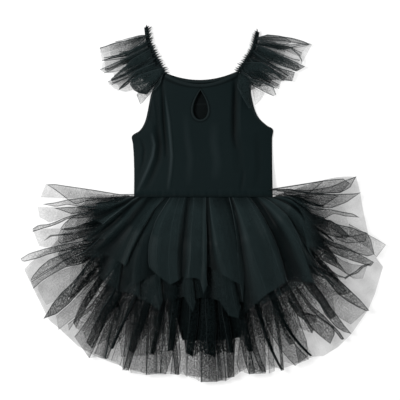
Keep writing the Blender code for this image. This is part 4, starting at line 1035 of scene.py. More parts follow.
def add_sheet(bm, rows, columns, ply_cover, most_bunched, dense_to):
    """Lays one sheet of net, as thick as at its root up to the share dense_to of its length. Writes how much
    it covers, how far each point is from a fold, how high it stands in its layer, darkened towards its root,
    which sets its painted light and shade, and its place in metres."""
    cover, from_fold, lift = (
        bm.verts.layers.float.get(key) or bm.verts.layers.float.new(key) for key in NET_LAYERS
    )
    uv = bm.loops.layers.uv.get("Cloth") or bm.loops.layers.uv.new("Cloth")
    grid = lay_grid(bm, rows)
    lengths = [run_lengths(row) for row in rows]
    hem = lengths[-1]
    widest = max(lengths, key=lambda row: row[-1])
    folds = [(j, (1.0 - column[2]) * FAINT_FOLD) for j, column in enumerate(columns) if column[2]]
    flat = {}
    down = [0.0] * len(columns)
    for k, row in enumerate(rows):
        share = k / (len(rows) - 1)
        out = smooth((share - dense_to) / (1.0 - dense_to))
        shade = mix(ROOT_SHADE, 1.0, smooth(share / ROOT_SHADE_TO))
        for j, (_, _, _, plies, height) in enumerate(columns):
            before, after = max(j - BUNCH_SPAN, 0), min(j + BUNCH_SPAN, len(columns) - 1)
            width = max(LEAST_WIDTH, lengths[k][after] - lengths[k][before])
            thick = limited((hem[after] - hem[before]) / width, 1.0, most_bunched) * mix(*plies, out)
            reaches = (abs(lengths[k][j] - lengths[k][fold]) + faint for fold, faint in folds)
            vert = grid[k][j]
            vert[cover] = 1.0 - (1.0 - ply_cover) ** thick
            vert[from_fold] = min((FOLD_REACH, *reaches)) * MM
            # Painted shade: the height, darkened towards the root, sets how lit the net's colour is.
            vert[lift] = height * shade
            if k:
                down[j] += dist(rows[k - 1][j], row[j])
            flat[vert] = (widest[j] * MM, down[j] * MM)
    for vert, place in flat.items():
        for loop in vert.link_loops:
            loop[uv].uv = place
    return {face for vert in flat for face in vert.link_faces}


# ---------------------------------------------------------------- the skirt
SEARCH_WIDTH = 600.0  # the search for a place starts as if the skirt were this wide
SEARCH_SHARE = 0.6
SEARCH_STEPS = 60
SEARCH_PACE = 0.7
SEARCH_LIMITS = (0.02, 1.2)
MOST_TURN = 20.0
MOST_REACH = 0.2
PROBE_ANGLE = 0.5
PROBE_SHARE = 0.005
FAN_MIDS = (0.25, 0.75)  # the middle of a line counts as lying between these shares of it
SHORTEST_DEGREE = 0.5
WAVY = 1.6  # the size of a line's slow waves, beside what is asked for
WAVE_SIZES = (0.5, 1.0)
FOLD_WAVES = (1.3, 3.1, 6.7)
LEAF_WAVES = (0.8, 1.9)


def fan(angle, share):
    """A place in the skirt's fan: share of the way from the waist to the longest hem, at an angle there."""
    turn = radians(angle)
    reach = between(*zip(*OUTLINE), angle)
    start = (WAIST_HALF * angle / FAN_HALF, WAIST_Y)
    run = (reach * sin(turn) - start[0], -reach * cos(turn))
    bow = share * share * (1.0 - share) * PLEAT_BOW * sin(turn)
    beyond = (min(abs(angle), SHOULDER_FULL) - SHOULDER_FROM) / (FAN_HALF - SHOULDER_FROM)
    up = share / SHOULDER_SHARE if share < SHOULDER_SHARE else (1.0 - share) / (1.0 - SHOULDER_SHARE)
    shoulder = max(0.0, beyond) * SHOULDER_RISE * up
    return start[0] + run[0] * share - run[1] * bow, start[1] + run[1] * share + run[0] * bow + shoulder


def fan_place(x, y):
    """The angle and share at which the fan passes through a place, found step by step along its slope."""
    angle, share = mix(-FAN_HALF, FAN_HALF, x / SEARCH_WIDTH + 0.5), SEARCH_SHARE
    for _ in range(SEARCH_STEPS):
        at = fan(angle, share)
        error = (x - at[0], y - at[1])
        by_angle, by_share = fan(angle + PROBE_ANGLE, share), fan(angle, share + PROBE_SHARE)
        a, b = (by_angle[0] - at[0]) / PROBE_ANGLE, (by_share[0] - at[0]) / PROBE_SHARE
        c, d = (by_angle[1] - at[1]) / PROBE_ANGLE, (by_share[1] - at[1]) / PROBE_SHARE
        area = a * d - b * c
        turn, reach = (error[0] * d - b * error[1]) / area, (a * error[1] - error[0] * c) / area
        angle += limited(turn, -MOST_TURN, MOST_TURN) * SEARCH_PACE
        share = limited(share + limited(reach, -MOST_REACH, MOST_REACH) * SEARCH_PACE, *SEARCH_LIMITS)
    return angle, share


def fan_line(root, mid, hem, rows, aside=(0.0, 0.0), longer=0.0):
    """A line of the skirt as (x, y, share). Aside is how far it lies to the right of its middle line halfway
    and at the hem, and longer is what it adds at the hem."""
    start = root * FAN_HALF / WAIST_HALF
    (mid_angle, mid_share), (hem_angle, hem_share) = fan_place(*mid), fan_place(*hem)
    at_mid = limited(mid_share / hem_share, *FAN_MIDS)
    places = []
    for k in range(rows):
        t = k / (rows - 1)
        angle = through(start, mid_angle, hem_angle, at_mid, t)
        share = t * (hem_share + longer)
        if any(aside):
            degree = dist(fan(angle - 0.5, share), fan(angle + 0.5, share))
            angle += through(0.0, *aside, at_mid, t) / max(SHORTEST_DEGREE, degree)
        places.append((*fan(angle, share), share))
    return places


def level_of(name):
    """What tells a tier's net how high it lies, and in how deep a layer, at a share of the way out."""
    level = LEVELS[name]

    def at(_x, _y, share):
        base = between(SHARES, level.base, share)
        return base, between(SHARES[:2], (level.waist_depth, level.full_depth), share)

    return at


def wandered(places, waves):
    """A line that strays from its course between its ends in slow waves: a size in millimetres, a count and a
    start each."""
    moved = []
    for k, (x, y, depth) in enumerate(places):
        t = k / (len(places) - 1)
        a, b = places[max(k - 1, 0)], places[min(k + 1, len(places) - 1)]
        length = dist(b[:2], a[:2]) or 1.0
        stray = sum(size * sin(2.0 * pi * (count * t + start)) for size, count, start in waves)
        stray *= WAVY * t * (1.0 - t**3)
        moved.append((x - (b[1] - a[1]) / length * stray, y + (b[0] - a[0]) / length * stray, depth))
    return moved


def some_waves(dice, size, counts=FOLD_WAVES):
    return [(dice.uniform(*WAVE_SIZES) * size / count, count, dice.random()) for count in counts]


def crease_lines(creases, rows, stray, dice):
    lines = []
    for crease in creases:
        places = wandered(fan_line(crease.root, crease[1:3], crease[3:5], rows), some_waves(dice, stray))
        lines.append(Line(places, crease.height, float(crease.folded), ONE_PLY))
    return lines


def skirt_finger(finger, rows, aside, longer):
    hem = finger[3:5]
    reach = dist(hem, (0.0, WAIST_Y))
    return fan_line(finger.root, finger[1:3], hem, rows, aside, longer / reach * fan_place(*hem)[1])


def finger_edges(finger, rows, line, stray, dice):
    """The left and right edges of a flat fold. They wander alike, and a sheer leaf's each in its own way."""
    waves = [some_waves(dice, stray)] * 2
    if finger.plies == SHEER:
        waves = [some_waves(dice, stray * LEAF_STRAY, LEAF_WAVES) for _ in waves]
    edges = []
    for side, some in zip((-0.5, 0.5), waves):
        aside = (finger.mid_width * side, finger.hem_width * side)
        edges.append(wandered(line(finger, rows, aside, finger.slant * side), some))
    return edges


def shortened(places, share):
    """A line drawn back to this share of its length."""
    kept = []
    for k in range(len(places)):
        i = min(int(k * share), len(places) - 2)
        kept.append(part_way(places[i], places[i + 1], k * share - i))
    return kept


def web_crease(a, b, height, plies, stray, dice):
    """A fine crease halfway between two lines of a wide web, or none."""
    if dice.random() >= WEB_CREASED:
        return []
    places = wandered(line_between(a, b), some_waves(dice, stray))
    return [Line(places, height, dice.uniform(*WEB_CREASE_FOLDED), plies)]


def fold_fingers(fingers, rows, line, plies, stray, dice):
    """The lines of a sheet folded into fingers: over each wide one it runs on top, back, and on again below.
    Between two fingers it hangs as a web with a few fine creases."""
    edges = [finger_edges(finger, rows, line, stray, dice) for finger in fingers]
    lines = []
    low = FIRST_LOW
    for i, finger in enumerate(fingers):
        left, right = edges[i]
        widest = max(finger.mid_width, finger.hem_width)
        high = low + min(FOLD_TOP - low, FOLD_RISE + FOLD_RISE_BY_WIDTH * widest)
        next_low = dice.uniform(*LOWS)
        panels, thick = NARROW_PANELS, plies
        if finger.plies == SHEER:
            panels = SHEER_PANELS
        elif widest > NARROW_FOLD:
            panels, thick = WIDE_PANELS, Plies(plies.root, plies.hem * max(1.0, finger.plies / FLAT_FOLD))
        for across, up, folded in panels:
            lines.append(Line(line_between(left, right, across), mix(low, high, up), folded, thick))
        if i < len(fingers) - 1:
            after = edges[i + 1][0]
            web = line_between(right, after)
            length = dist(web[-1][:2], web[0][:2])
            web = shortened(web, max(SHORTEST_WEB, 1.0 - finger.notch / length))
            wide = dist(right[-1][:2], after[-1][:2]) > WIDE_WEB
            height = dice.uniform(*WEB_HEIGHTS)
            if wide:
                lines += web_crease(right, web, height * WEB_CREASE_HEIGHTS[0], plies, stray, dice)
            lines.append(Line(web, height, dice.uniform(*WEB_FOLDED) if wide else 0.0, plies))
            if wide:
                lines += web_crease(web, after, height * WEB_CREASE_HEIGHTS[1], plies, stray, dice)
            low = next_low
    return lines


def pleat_fingers(pleats, dice):
    """The rows of a tier whose pleats hang along their own radii, as fingers."""
    fingers = []
    for pleat in pleats:
        turn = radians(pleat.angle)
        hem = (pleat.reach * sin(turn), WAIST_Y - pleat.reach * cos(turn))
        angle, share = fan_place(*hem)
        mid = fan(angle + dice.uniform(-PLEAT_SWAY, PLEAT_SWAY), share * PLEAT_MID)
        root = WAIST_HALF / FAN_HALF * (angle + dice.uniform(-ROOT_SWAY, ROOT_SWAY))
        sheer = abs(pleat.angle) > LEAVES_FROM
        width, plies = (pleat.mid_width * LEAF_WIDER, SHEER) if sheer else (pleat.mid_width, FLAT_FOLD)
        notch, slant = pleat.reach - pleat.valley, dice.uniform(*PLEAT_SLANTS)
        root = limited(root, -WAIST_HALF, WAIST_HALF)
        fingers.append(Finger(root, *mid, *hem, notch, width, pleat.hem_width, slant, plies))
    return fingers


def shallow_wave(angle, end, rows, crest, dice):
    """A line of a tier that hangs in shallow waves, straight out to the share end. Crest is the least height
    of one that stands up, and 0 for a valley."""
    places = [(*fan(angle, end * k / (rows - 1)), end * k / (rows - 1)) for k in range(rows)]
    height = dice.uniform(crest, 1.0) if crest else dice.uniform(*VALLEYS)
    return Line(places, height, 0.0, ONE_PLY)


def plain_lines(plain, rows, dice):
    """A hidden tier: even shallow waves, all to about one share of the longest hem."""
    lines = []
    last = 2 * plain.pleats
    for i in range(last + 1):
        angle = mix(-PLAIN_HALF_FAN, PLAIN_HALF_FAN, i / last) + dice.uniform(-PLAIN_SWAY, PLAIN_SWAY)
        end = plain.share - dice.uniform(0.0, plain.ragged)
        lines.append(shallow_wave(angle, end, rows, PLAIN_CREST * (i % 2), dice))
    return lines


def hem_lines(hem, rows, dice):
    """A tier known by the places along its hem, which hangs in shallow waves."""
    return [shallow_wave(*fan_place(*place), rows, HEM_CREST * (i % 2), dice) for i, place in enumerate(hem)]


def tier_lines(name, rows, dice):
    if name == "tier_1_front":
        return crease_lines(TIER_1_CREASES, rows, CREASE_STRAY, dice)
    if name == "tier_2_front":
        return crease_lines(TIER_2_CREASES, rows, CREASE_STRAY, dice)
    if name == "tier_3_front":
        fingers = pleat_fingers(TIER_3_PLEATS, dice)
        return fold_fingers(fingers, rows, skirt_finger, ONE_PLY, PLEAT_STRAY, dice)
    if name == "tier_4_front":
        return fold_fingers(TIER_4_FINGERS, rows, skirt_finger, ONE_PLY, FINGER_STRAY, dice)
    if name == "tier_4_back":
        return hem_lines(TIER_4_BACK_HEM, rows, dice)
    return plain_lines(PLAIN_BACKS[name], rows, dice)


def at_its_density(line, densities):
    """The line with its plies multiplied by its tier's at its own angle."""
    x, y, _ = line.places[-1]
    angles, *counts = zip(*densities)
    angle = degrees(atan2(abs(x), WAIST_Y - y))
    return line._replace(plies=Plies(*(
        plies * between(angles, count, angle) for plies, count in zip(line.plies, counts)
    )))


def paced(corners, rows):
    """Evenly spaced places along a line through corners of (x, y, depth)."""
    lengths = [0.0]
    for a, b in zip(corners, corners[1:]):
        lengths.append(lengths[-1] + dist(b[:2], a[:2]))
    return [
        tuple(between(lengths, values, lengths[-1] * k / (rows - 1)) for values in zip(*corners))
        for k in range(rows)
    ]


def add_leaf(bm, leaf, depth_at, level, ply_cover, dice):
    """One sheer leaf, laid so that it bulges a little along its middle. Returns its faces."""
    edges = []
    for edge in (leaf.first, leaf.second):
        last = len(edge) // 2 - 1
        corners = [(x, y, depth_at(x, y, i / last)) for i, (x, y) in enumerate(zip(edge[::2], edge[1::2]))]
        edges.append(paced(corners, LEAF_ROWS))
    first, second = edges
    plies = Plies(leaf.root, leaf.end)
    lines = [
        Line(first, leaf.height, leaf.folded, plies),
        Line(line_between(first, second), min(1.0, leaf.height + LEAF_BULGE), 0.0, plies),
        Line(second, leaf.height * LEAF_SECOND_EDGE, leaf.folded, plies),
    ]
    across = Vector(second[LEAF_ROW_ACROSS]) - Vector(first[LEAF_ROW_ACROSS])
    out = Vector(first[-1]) - Vector(first[0])
    if across.cross(out).z > 0.0:
        lines.reverse()
    rows, columns = sheet_rows(lines, level, LEAF_STEP, LEAF_WAVE, dice)
    return add_sheet(bm, rows, columns, ply_cover, 1.0, LEAF_DENSE_TO)


def fan_depth(x, y, _share):
    return fan_place(x, y)[1]


def gather_tier(name, finish, leaf_finish):
    tier = TIERS[name]
    dice = random.Random(tier.seed)
    lines = tier_lines(name, tier.rows, dice)
    if name in DENSITIES:
        lines = [at_its_density(line, DENSITIES[name]) for line in lines]
    rows, columns = sheet_rows(lines, level_of(name), tier.step, tier.wave, dice)
    bm = bmesh.new()
    add_sheet(bm, rows, columns, tier.ply_cover, MOST_BUNCHED, tier.dense_to)
    leaves = LEAVES if name == "tier_4_front" else ()
    for leaf in leaves:
        for face in add_leaf(bm, leaf, fan_depth, level_of(name), tier.ply_cover, dice):
            face.material_index = 1
    piece = new_piece("net_" + name, bm, finish, name)
    if leaves:
        piece.data.materials.append(leaf_finish)


# ---------------------------------------------------------------- the bodice
def neck_bend(share, drop):
    seat = min(share, 1.0 - share)
    if seat < SEAT_SHARE:
        return SEAT_RISE * seat / SEAT_SHARE
    side = (share - 0.5) / (0.5 - SEAT_SHARE)
    return SEAT_RISE - (SEAT_RISE + drop) * (1.0 - side * side)


def bodice_place(up, share, drop):
    """A place on the bodice: up counts the rows of its table, share goes from left to right."""
    left_x, left_y, right_x, right_y = (curved(column, up) for column in zip(*BODICE_ROWS))
    bend = limited((up - NECK_BEND_FROM) / (NECK_BEND_FULL - NECK_BEND_FROM)) ** NECK_POWER
    return mix(left_x, right_x, share), mix(left_y, right_y, share) + bend * neck_bend(share, drop)


def lip_at(y):
    return 1.0 - smooth((y - LIP_Y) / LIP_LENGTH)


def back_z(y, share):
    side = abs(2.0 * share - 1.0)
    lift = 1.0 - smooth((y - WAIST_Y) / (FLAT_FROM_Y - WAIST_Y))
    return lift * (BACK_LIFT_MIDDLE + BACK_LIFT_SIDE * side**SIDE_POWER)


def fold_height(folds, x, y):
    """How far the soft folds raise a place, or lower it."""
    total = 0.0
    for fold in folds:
        xs, ys = zip(*reversed(fold.line))
        along = (y - ys[0]) / (ys[-1] - ys[0])
        if 0.0 < along < 1.0:
            aside = (x - between(ys, xs, y)) / fold.half_width
            total += fold.height * sin(pi * along) ** FOLD_END_POWER * max(0.0, 1.0 - aside * aside) ** 2
    return total


def front_z(x, y, share):
    """The underside of the front, as in the plain solid."""
    side = abs(2.0 * share - 1.0)
    crown = between((WAIST_Y, FLAT_FROM_Y, NECK_Y), (CROWN_WAIST, CROWN_CHEST, CROWN_NECK), y)
    room = SEAM_GAP + (1.0 - side**SIDE_POWER) * crown
    folds = fold_height(FRONT_FOLDS, x, y) * (1.0 - side**FOLD_SIDE_POWER)
    return back_z(y, share) + KNIT_WALL + room + folds


def back_height(x, y, share):
    return back_z(y, share) + KNIT_WALL * 0.5 + fold_height(BACK_FOLDS, x, y)


def front_height(x, y, share):
    side = abs(2.0 * share - 1.0)
    lip = lip_at(y)
    puckers = sum(size * sin((x + shift) * 2.0 * pi / pitch) for size, shift, pitch in WAIST_PUCKERS)
    z = front_z(x, y, share) + KNIT_WALL * FRONT_MIDDLE - SEAM_GAP * side**SEAM_POWER
    rounded = LIP_Z + LIP_PUFF * smooth((y - LIP_Y) / LIP_PUFF_TO)
    return mix(z, rounded, lip**LIP_POWER) + lip * (1.0 - lip) * 4.0 * puckers


def front_painted_shading(x, y, up):
    """The painted light and shade of a place on the front, from -1 shaded deep in a groove to 1 lit on a
    crest, with painted shade under the neck binding, close round the keyhole's binding and along the lip.
    """
    painted_shading = fold_height(FRONT_FOLDS, x, y) * PAINTED_SHADING_SHARE
    under_neck = abs(up - NECK_GROOVE_AT) / NECK_GROOVE_HALF
    painted_shading -= NECK_GROOVE_SHADE * max(0.0, 1.0 - under_neck * under_neck)
    if in_teardrop(x, y, BINDING_SHADE_TO):
        painted_shading -= BINDING_SHADE
    return painted_shading - LIP_SHADE * (1.0 - smooth((y - LIP_Y) / LIP_SHADE_TO))


def back_painted_shading(x, y, _up):
    # Painted light and shade of the back: its folds, and a painted highlight along a fine crease.
    wrinkled = abs(y - BACK_WRINKLE_Y) < BACK_WRINKLE_HALF and abs(x - KEYHOLE_CENTRE[0]) < KEYHOLE_SWELL
    return fold_height(BACK_FOLDS, x, y) * PAINTED_SHADING_SHARE + (BACK_WRINKLE if wrinkled else 0.0)


def bodice_steps():
    return [(len(BODICE_ROWS) - 1) * (1.0 - i / BODICE_STEPS) for i in range(BODICE_STEPS + 1)]


def bodice_grid(drop, height, reach_down):
    """Rows of the panel from the shoulders to the waist."""
    rows = []
    for up in bodice_steps():
        row = []
        for j in range(BODICE_COLUMNS + 1):
            share = j / BODICE_COLUMNS
            x, y = bodice_place(up, share, drop)
            row.append((x, y - reach_down * lip_at(y), height(x, y, share)))
        rows.append(row)
    return rows


def teardrop_half(turn, widen):
    """Half the keyhole's width, moved outward by widen, at this turn from its tip."""
    return (KEYHOLE_SWELL + KEYHOLE_SPREAD * widen) * sin(turn) * sin(turn / 2.0)


def in_teardrop(x, y, widen):
    """Whether a place lies inside the keyhole's outline, moved outward by widen."""
    up = (y - KEYHOLE_CENTRE[1]) / (KEYHOLE_HALF_HEIGHT + widen)
    return abs(up) < 1.0 and abs(x - KEYHOLE_CENTRE[0]) < teardrop_half(acos(up), widen)


def teardrop(widen):
    """The keyhole's outline, from its tip round and back to it."""
    points = []
    for i in range(KEYHOLE_SIDES + 1):
        turn = 2.0 * pi * i / KEYHOLE_SIDES
        y = KEYHOLE_CENTRE[1] + (KEYHOLE_HALF_HEIGHT + widen) * cos(turn)
        points.append((KEYHOLE_CENTRE[0] + teardrop_half(turn, widen), y))
    return points


def sew_bodice(finish, inside):
    for name, drop, height, reach_down, painted_shading_at in (
        ("bodice_back", BACK_NECK_DROP, back_height, 0.0, back_painted_shading),
        ("bodice_front", FRONT_NECK_DROP, front_height, LIP_OVER_SKIRT, front_painted_shading),
    ):
        bm = bmesh.new()
        painted_shading = bm.verts.layers.float.new("painted_shading")
        grid = lay_grid(bm, bodice_grid(drop, height, reach_down))
        for up, verts in zip(bodice_steps(), grid):
            for vert in verts:
                # Painted light and shade for the jersey's colour.
                vert[painted_shading] = painted_shading_at(vert.co.x / MM, vert.co.y / MM, up)
        if name == "bodice_front":
            middles = {face: face.calc_center_median().xy / MM for face in bm.faces}
            opening = [face for face, middle in middles.items() if in_teardrop(*middle, KEYHOLE_CUT)]
            bmesh.ops.delete(bm, geom=opening, context="FACES")
        else:
            bmesh.ops.reverse_faces(bm, faces=bm.faces)
        piece = new_piece("knit_" + name, bm, finish, name)
        piece.data.materials.append(inside)
        # The inner side gets the darker copy of the jersey, its painted shade.
        thicken(piece, BODICE_CLOTH).material_offset = 1


def roll(bm, edge, inner, thick):
    """A flattened roll of binding that fills the band between two lines of places."""
    rings = []
    for a, b in zip(edge, inner):
        a, b = Vector(a), Vector(b)
        ring = []
        for k in range(ROLL_SIDES):
            turn = 2.0 * pi * k / ROLL_SIDES
            up = thick * 0.5 * sin(turn) * (1.0 - ROLL_FLATTENED * sin(turn) ** 4)
            place = (a + b) / 2.0 + (b - a) / 2.0 * cos(turn) + Vector((0.0, 0.0, up))
            ring.append(bm.verts.new(place * MM))
        rings.append(ring)
    for a, b in zip(rings, rings[1:]):
        for k in range(ROLL_SIDES):
            m = (k + 1) % ROLL_SIDES
            bm.faces.new((a[k], a[m], b[m], b[k]))
    if dist(edge[0], edge[-1]) > ROLL_CLOSES:
        bm.faces.new(rings[0])
        bm.faces.new(rings[-1])


def stitch(bm, line, dice):
    """A row of short stitches along a line, each a small bead of thread."""
    total = 0.0
    due = STITCH_FROM
    for a, b in zip(line, line[1:]):
        a, b = Vector(a), Vector(b)
        step = (b - a).length
        while due < total + step:
            middle = a.lerp(b, (due - total) / step) + Vector((0.0, 0.0, STITCH_RISE))
            turn = (b - a).to_track_quat("X", "Z").to_matrix().to_4x4()
            length = STITCH_SIZE[0] + dice.uniform(-STITCH_VARIES, STITCH_VARIES)
            size = Matrix.Diagonal((length, *STITCH_SIZE[1:], 1.0))
            where = Matrix.Translation(middle * MM) @ turn @ size @ Matrix.Scale(MM, 4)
            bmesh.ops.create_uvsphere(bm, u_segments=6, v_segments=4, radius=1.0, matrix=where)
            due += STITCH_PITCH
        total += step


def band_lines(start, end, drop, height):
    """The two edges of a band on the bodice, each from its start to its end. A start or an end holds the
    outer edge's place and the inner edge's, each a row of the bodice's table and a share across."""
    lines = []
    for a, b in zip(start, end):
        line = []
        for i in range(BAND_STEPS + 1):
            up, share = part_way(a, b, i / BAND_STEPS)
            x, y = bodice_place(up, share, drop)
            line.append((x, y, height(x, y, share)))
        lines.append(line)
    return lines


def bind_edges(finish):
    dice = random.Random(STITCH_SEED)
    top = len(BODICE_ROWS) - 1
    armhole_top = top - ARMHOLE_TOP
    neck = [((top, side), (top - 1, side)) for side in (SEAT_SHARE, 1.0 - SEAT_SHARE)]
    left, right = (
        (
            ((UNDERARM, side), (UNDERARM, abs(side - ARMHOLE_WIDTH[0]))),
            ((armhole_top, side), (armhole_top, abs(side - ARMHOLE_WIDTH[1]))),
        )
        for side in (0.0, 1.0)
    )
    front = (FRONT_NECK_DROP, front_height)
    keyhole = [
        [(x, y, front_height(x, y, 0.5) + KEYHOLE_RISE) for x, y in teardrop(widen)]
        for widen in (-KEYHOLE_INSIDE, KEYHOLE_BAND)
    ]
    behind = band_lines(*neck, BACK_NECK_DROP, back_height)
    bands = {
        "neck_binding_front": band_lines(*neck, *front),
        "neck_binding_back": [[(x, y, z + BACK_BINDING_RISE) for x, y, z in line] for line in behind],
        "armhole_binding_left": band_lines(*left, *front),
        "armhole_binding_right": band_lines(*right, *front),
        "keyhole_binding": keyhole,
    }
    for name, (edge, inner) in bands.items():
        bm = bmesh.new()
        roll(bm, edge, inner, BACK_BINDING_ROLL if name == "neck_binding_back" else BINDING_ROLL)
        stitch(bm, line_between(edge, inner, STITCH_LINE), dice)
        bmesh.ops.recalc_face_normals(bm, faces=bm.faces)
        new_piece("trim_" + name, bm, finish, name)


# ---------------------------------------------------------------- the brief, the straps and the frills
def brief_rows(name, bulge):
    """Rows of half a brief from the waist down, which bulges upward or, below 0, downward."""
    rows = []
    for i in range(BRIEF_STEPS + 1):
        at = (len(BRIEF_ROWS) - 1) * i / BRIEF_STEPS
        share, half = (curved(column, at) for column in zip(*BRIEF_ROWS))
        middle = BRIEF_TURN * share / BRIEF_ROWS[-1][0] * (1.0 - half / FAN_HALF)
        row = []
        for j in range(BRIEF_COLUMNS + 1):
            across = 2.0 * j / BRIEF_COLUMNS - 1.0
            x, y = fan(middle + half * across, share)
            gathers = abs(across) ** BRIEF_GATHER_POWER * sin(at * BRIEF_GATHER_TURN + across)
            gathers *= BRIEF_GATHERS * smooth(share / BRIEF_GATHERS_FROM)
            z = between(SHARES, LEVELS[name].base, share) + BRIEF_LIFT + gathers
            row.append((x, y, z + bulge * (1.0 - across * across)))
        rows.append(row)
    return rows


def sew_brief(finish):
    for name, side in (("brief_back", -1.0), ("brief_front", 1.0)):
        rows = brief_rows(name, side * BRIEF_CROWN)
        bm = bmesh.new()
        lay_grid(bm, rows)
        if side < 0.0:
            bmesh.ops.reverse_faces(bm, faces=bm.faces)
        for j, inner in ((0, 1), (-1, -2)):
            roll(bm, [row[j] for row in rows], [row[inner] for row in rows], BRIEF_BINDING)
        bmesh.ops.recalc_face_normals(bm, faces=[face for face in bm.faces if len(face.verts) != 4])
        piece = new_piece("knit_" + name, bm, finish, name)
        thicken(piece, BRIEF_CLOTH)


def strap_line(sleeve):
    """The strap's length, its unit direction, and the unit normal towards the neck."""
    length = dist(sleeve.top, sleeve.foot)
    along = ((sleeve.top[0] - sleeve.foot[0]) / length, (sleeve.top[1] - sleeve.foot[1]) / length)
    inward = (along[1], -along[0]) if sleeve.foot[0] < 0 else (-along[1], along[0])
    return length, along, inward


def on_strap(sleeve, share):
    """The place on the strap's middle line at this share of the way up it."""
    inward = strap_line(sleeve)[2]
    bow = STRAP_BOW * sin(pi * limited(share) ** 1.3)
    x, y = part_way(sleeve.foot, sleeve.top, share)
    return x - inward[0] * bow, y - inward[1] * bow


def strap_path(length):
    """The folded strap seen from the side: up behind, round the fold and down in front, as (reach, z)."""
    half = STRAP_WALL / 2.0
    shares = [i / STRAP_STEPS for i in range(STRAP_STEPS + 1)]

    def way_up(low, high):
        return [(share * length, mix(low, high, smooth(share / STRAP_SETTLES))) for share in shares]

    radius = (STRAP_FRONT_Z - STRAP_BACK_Z) / 2.0
    turns = [radians(turn) for turn in STRAP_FOLD_TURNS]
    over = [(length + radius * cos(turn), STRAP_BACK_Z + half + radius * (1.0 + sin(turn))) for turn in turns]
    before = way_up(KNIT_WALL * 1.5 + SEAM_GAP, STRAP_FRONT_Z + half)
    return way_up(half, STRAP_BACK_Z + half) + over + before[::-1]


def fold_straps(finish):
    """Each strap is a ribbed elastic tape, folded over at the shoulder."""
    last = STRAP_RIBS * 2
    for side, sleeve in SLEEVES.items():
        length, along, _ = strap_line(sleeve)
        rows = []
        for reach, z in strap_path(length):
            x, y = on_strap(sleeve, reach / length)
            row = []
            for j in range(last + 1):
                aside = STRAP_WIDTH * (j / last - 0.5)
                rise = STRAP_RIB_RISE if j % 2 else -STRAP_RIB_RISE
                row.append((x + along[1] * aside, y - along[0] * aside, z + rise))
            rows.append(row)
        bm = bmesh.new()
        lay_grid(bm, rows)
        bmesh.ops.recalc_face_normals(bm, faces=bm.faces)
        thicken(new_piece("trim_strap_" + side, bm, finish, "strap_" + side), STRAP_CLOTH)


def frill_edge(sleeve, share_of_hem):
    """What makes the edges of a frill's fingers."""
    way = -1.0 if sleeve.foot[0] < 0 else 1.0

    def line(finger, rows, aside, longer):
        root = on_strap(sleeve, finger.root)
        mid, hem = (part_way(root, place, share_of_hem) for place in (finger[1:3], finger[3:5]))
        length = dist(hem, root)
        cross = (-way * (hem[1] - root[1]) / length, way * (hem[0] - root[0]) / length)
        at_mid = limited(dist(mid, root) / length, *FRILL_MIDS)
        places = []
        for k in range(rows):
            t = k / (rows - 1) * (1.0 + longer / length)
            off = through(0.0, *aside, at_mid, t)
            x, y = (through(root[i], mid[i], hem[i], at_mid, t) + cross[i] * off for i in (0, 1))
            places.append((x, y, k / (rows - 1)))
        return places

    return line


def header_lines(sleeve, rows, dice):
    """The frill's own upper edge, which stands in spikes inside the strap and round its top."""
    _, along, inward = strap_line(sleeve)
    lines = []
    last = 2 * HEADER_SPIKES
    for i in range(last + 1):
        up = i / last * HEADER_PAST_TOP
        spike = i % 2 == 1
        reach = HEADER_WIDTH * dice.uniform(*(HEADER_SPIKE if spike else HEADER_NOTCH))
        turn = (up - HEADER_UPRIGHT) * HEADER_TILT + dice.uniform(-HEADER_SWAY, HEADER_SWAY)
        turn += HEADER_TOP_TURN * max(0.0, up - 1.0) / (HEADER_PAST_TOP - 1.0)
        reach *= 1.0 - HEADER_NARROWS * smooth((up - 1.0) / HEADER_NARROWS_OVER + 1.0)
        root = on_strap(sleeve, min(up, 1.0))
        places = []
        for k in range(rows):
            x, y = (
                start + (a * cos(turn) + b * sin(turn)) * reach * k / (rows - 1)
                for start, a, b in zip(root, inward, along)
            )
            places.append((x, y, k / (rows - 1)))
        height = dice.uniform(PLAIN_CREST, 1.0) if spike else dice.uniform(*VALLEYS)
        lines.append(Line(places, height, float(spike), Plies(*HEADER_PLIES)))
    return lines


def bodice_top(x, y):
    """The height of the top of the bodice's front at a place, or 0 clear of it."""
    lefts, left_ys, rights, right_ys = zip(*BODICE_ROWS)
    heights = part_way(left_ys, right_ys)
    left, right = between(heights, lefts, y), between(heights, rights, y)
    share = (x - left) / (right - left)
    if not 0.0 < share < 1.0 or y > right_ys[-1] + SEAT_RISE:
        return 0.0
    return front_z(x, y, share) + KNIT_WALL + FRILL_OVER_BODICE


def frill_level(frill, root, depth, front):
    """What tells a frill's net how high it lies: above the bodice where it lies on it."""
    def at(x, y, share):
        base = mix(root, frill.hem_base, smooth(share))
        top = bodice_top(x, y) if front else 0.0
        return max(base, top), mix(depth, frill.hem_depth, smooth(share))

    return at


def thinner_at_top(line, sleeve):
    """A frill's line with fewer plies if it leaves the strap near the top."""
    up = (line.places[0][1] - sleeve.foot[1]) / (sleeve.top[1] - sleeve.foot[1])
    share = mix(1.0, FRILL_TOP_PLIES, smooth((up - FRILL_THINS_FROM) / FRILL_THINS_OVER))
    return line._replace(plies=Plies(*(plies * share for plies in line.plies)))


def own_share(_x, _y, share):
    return share


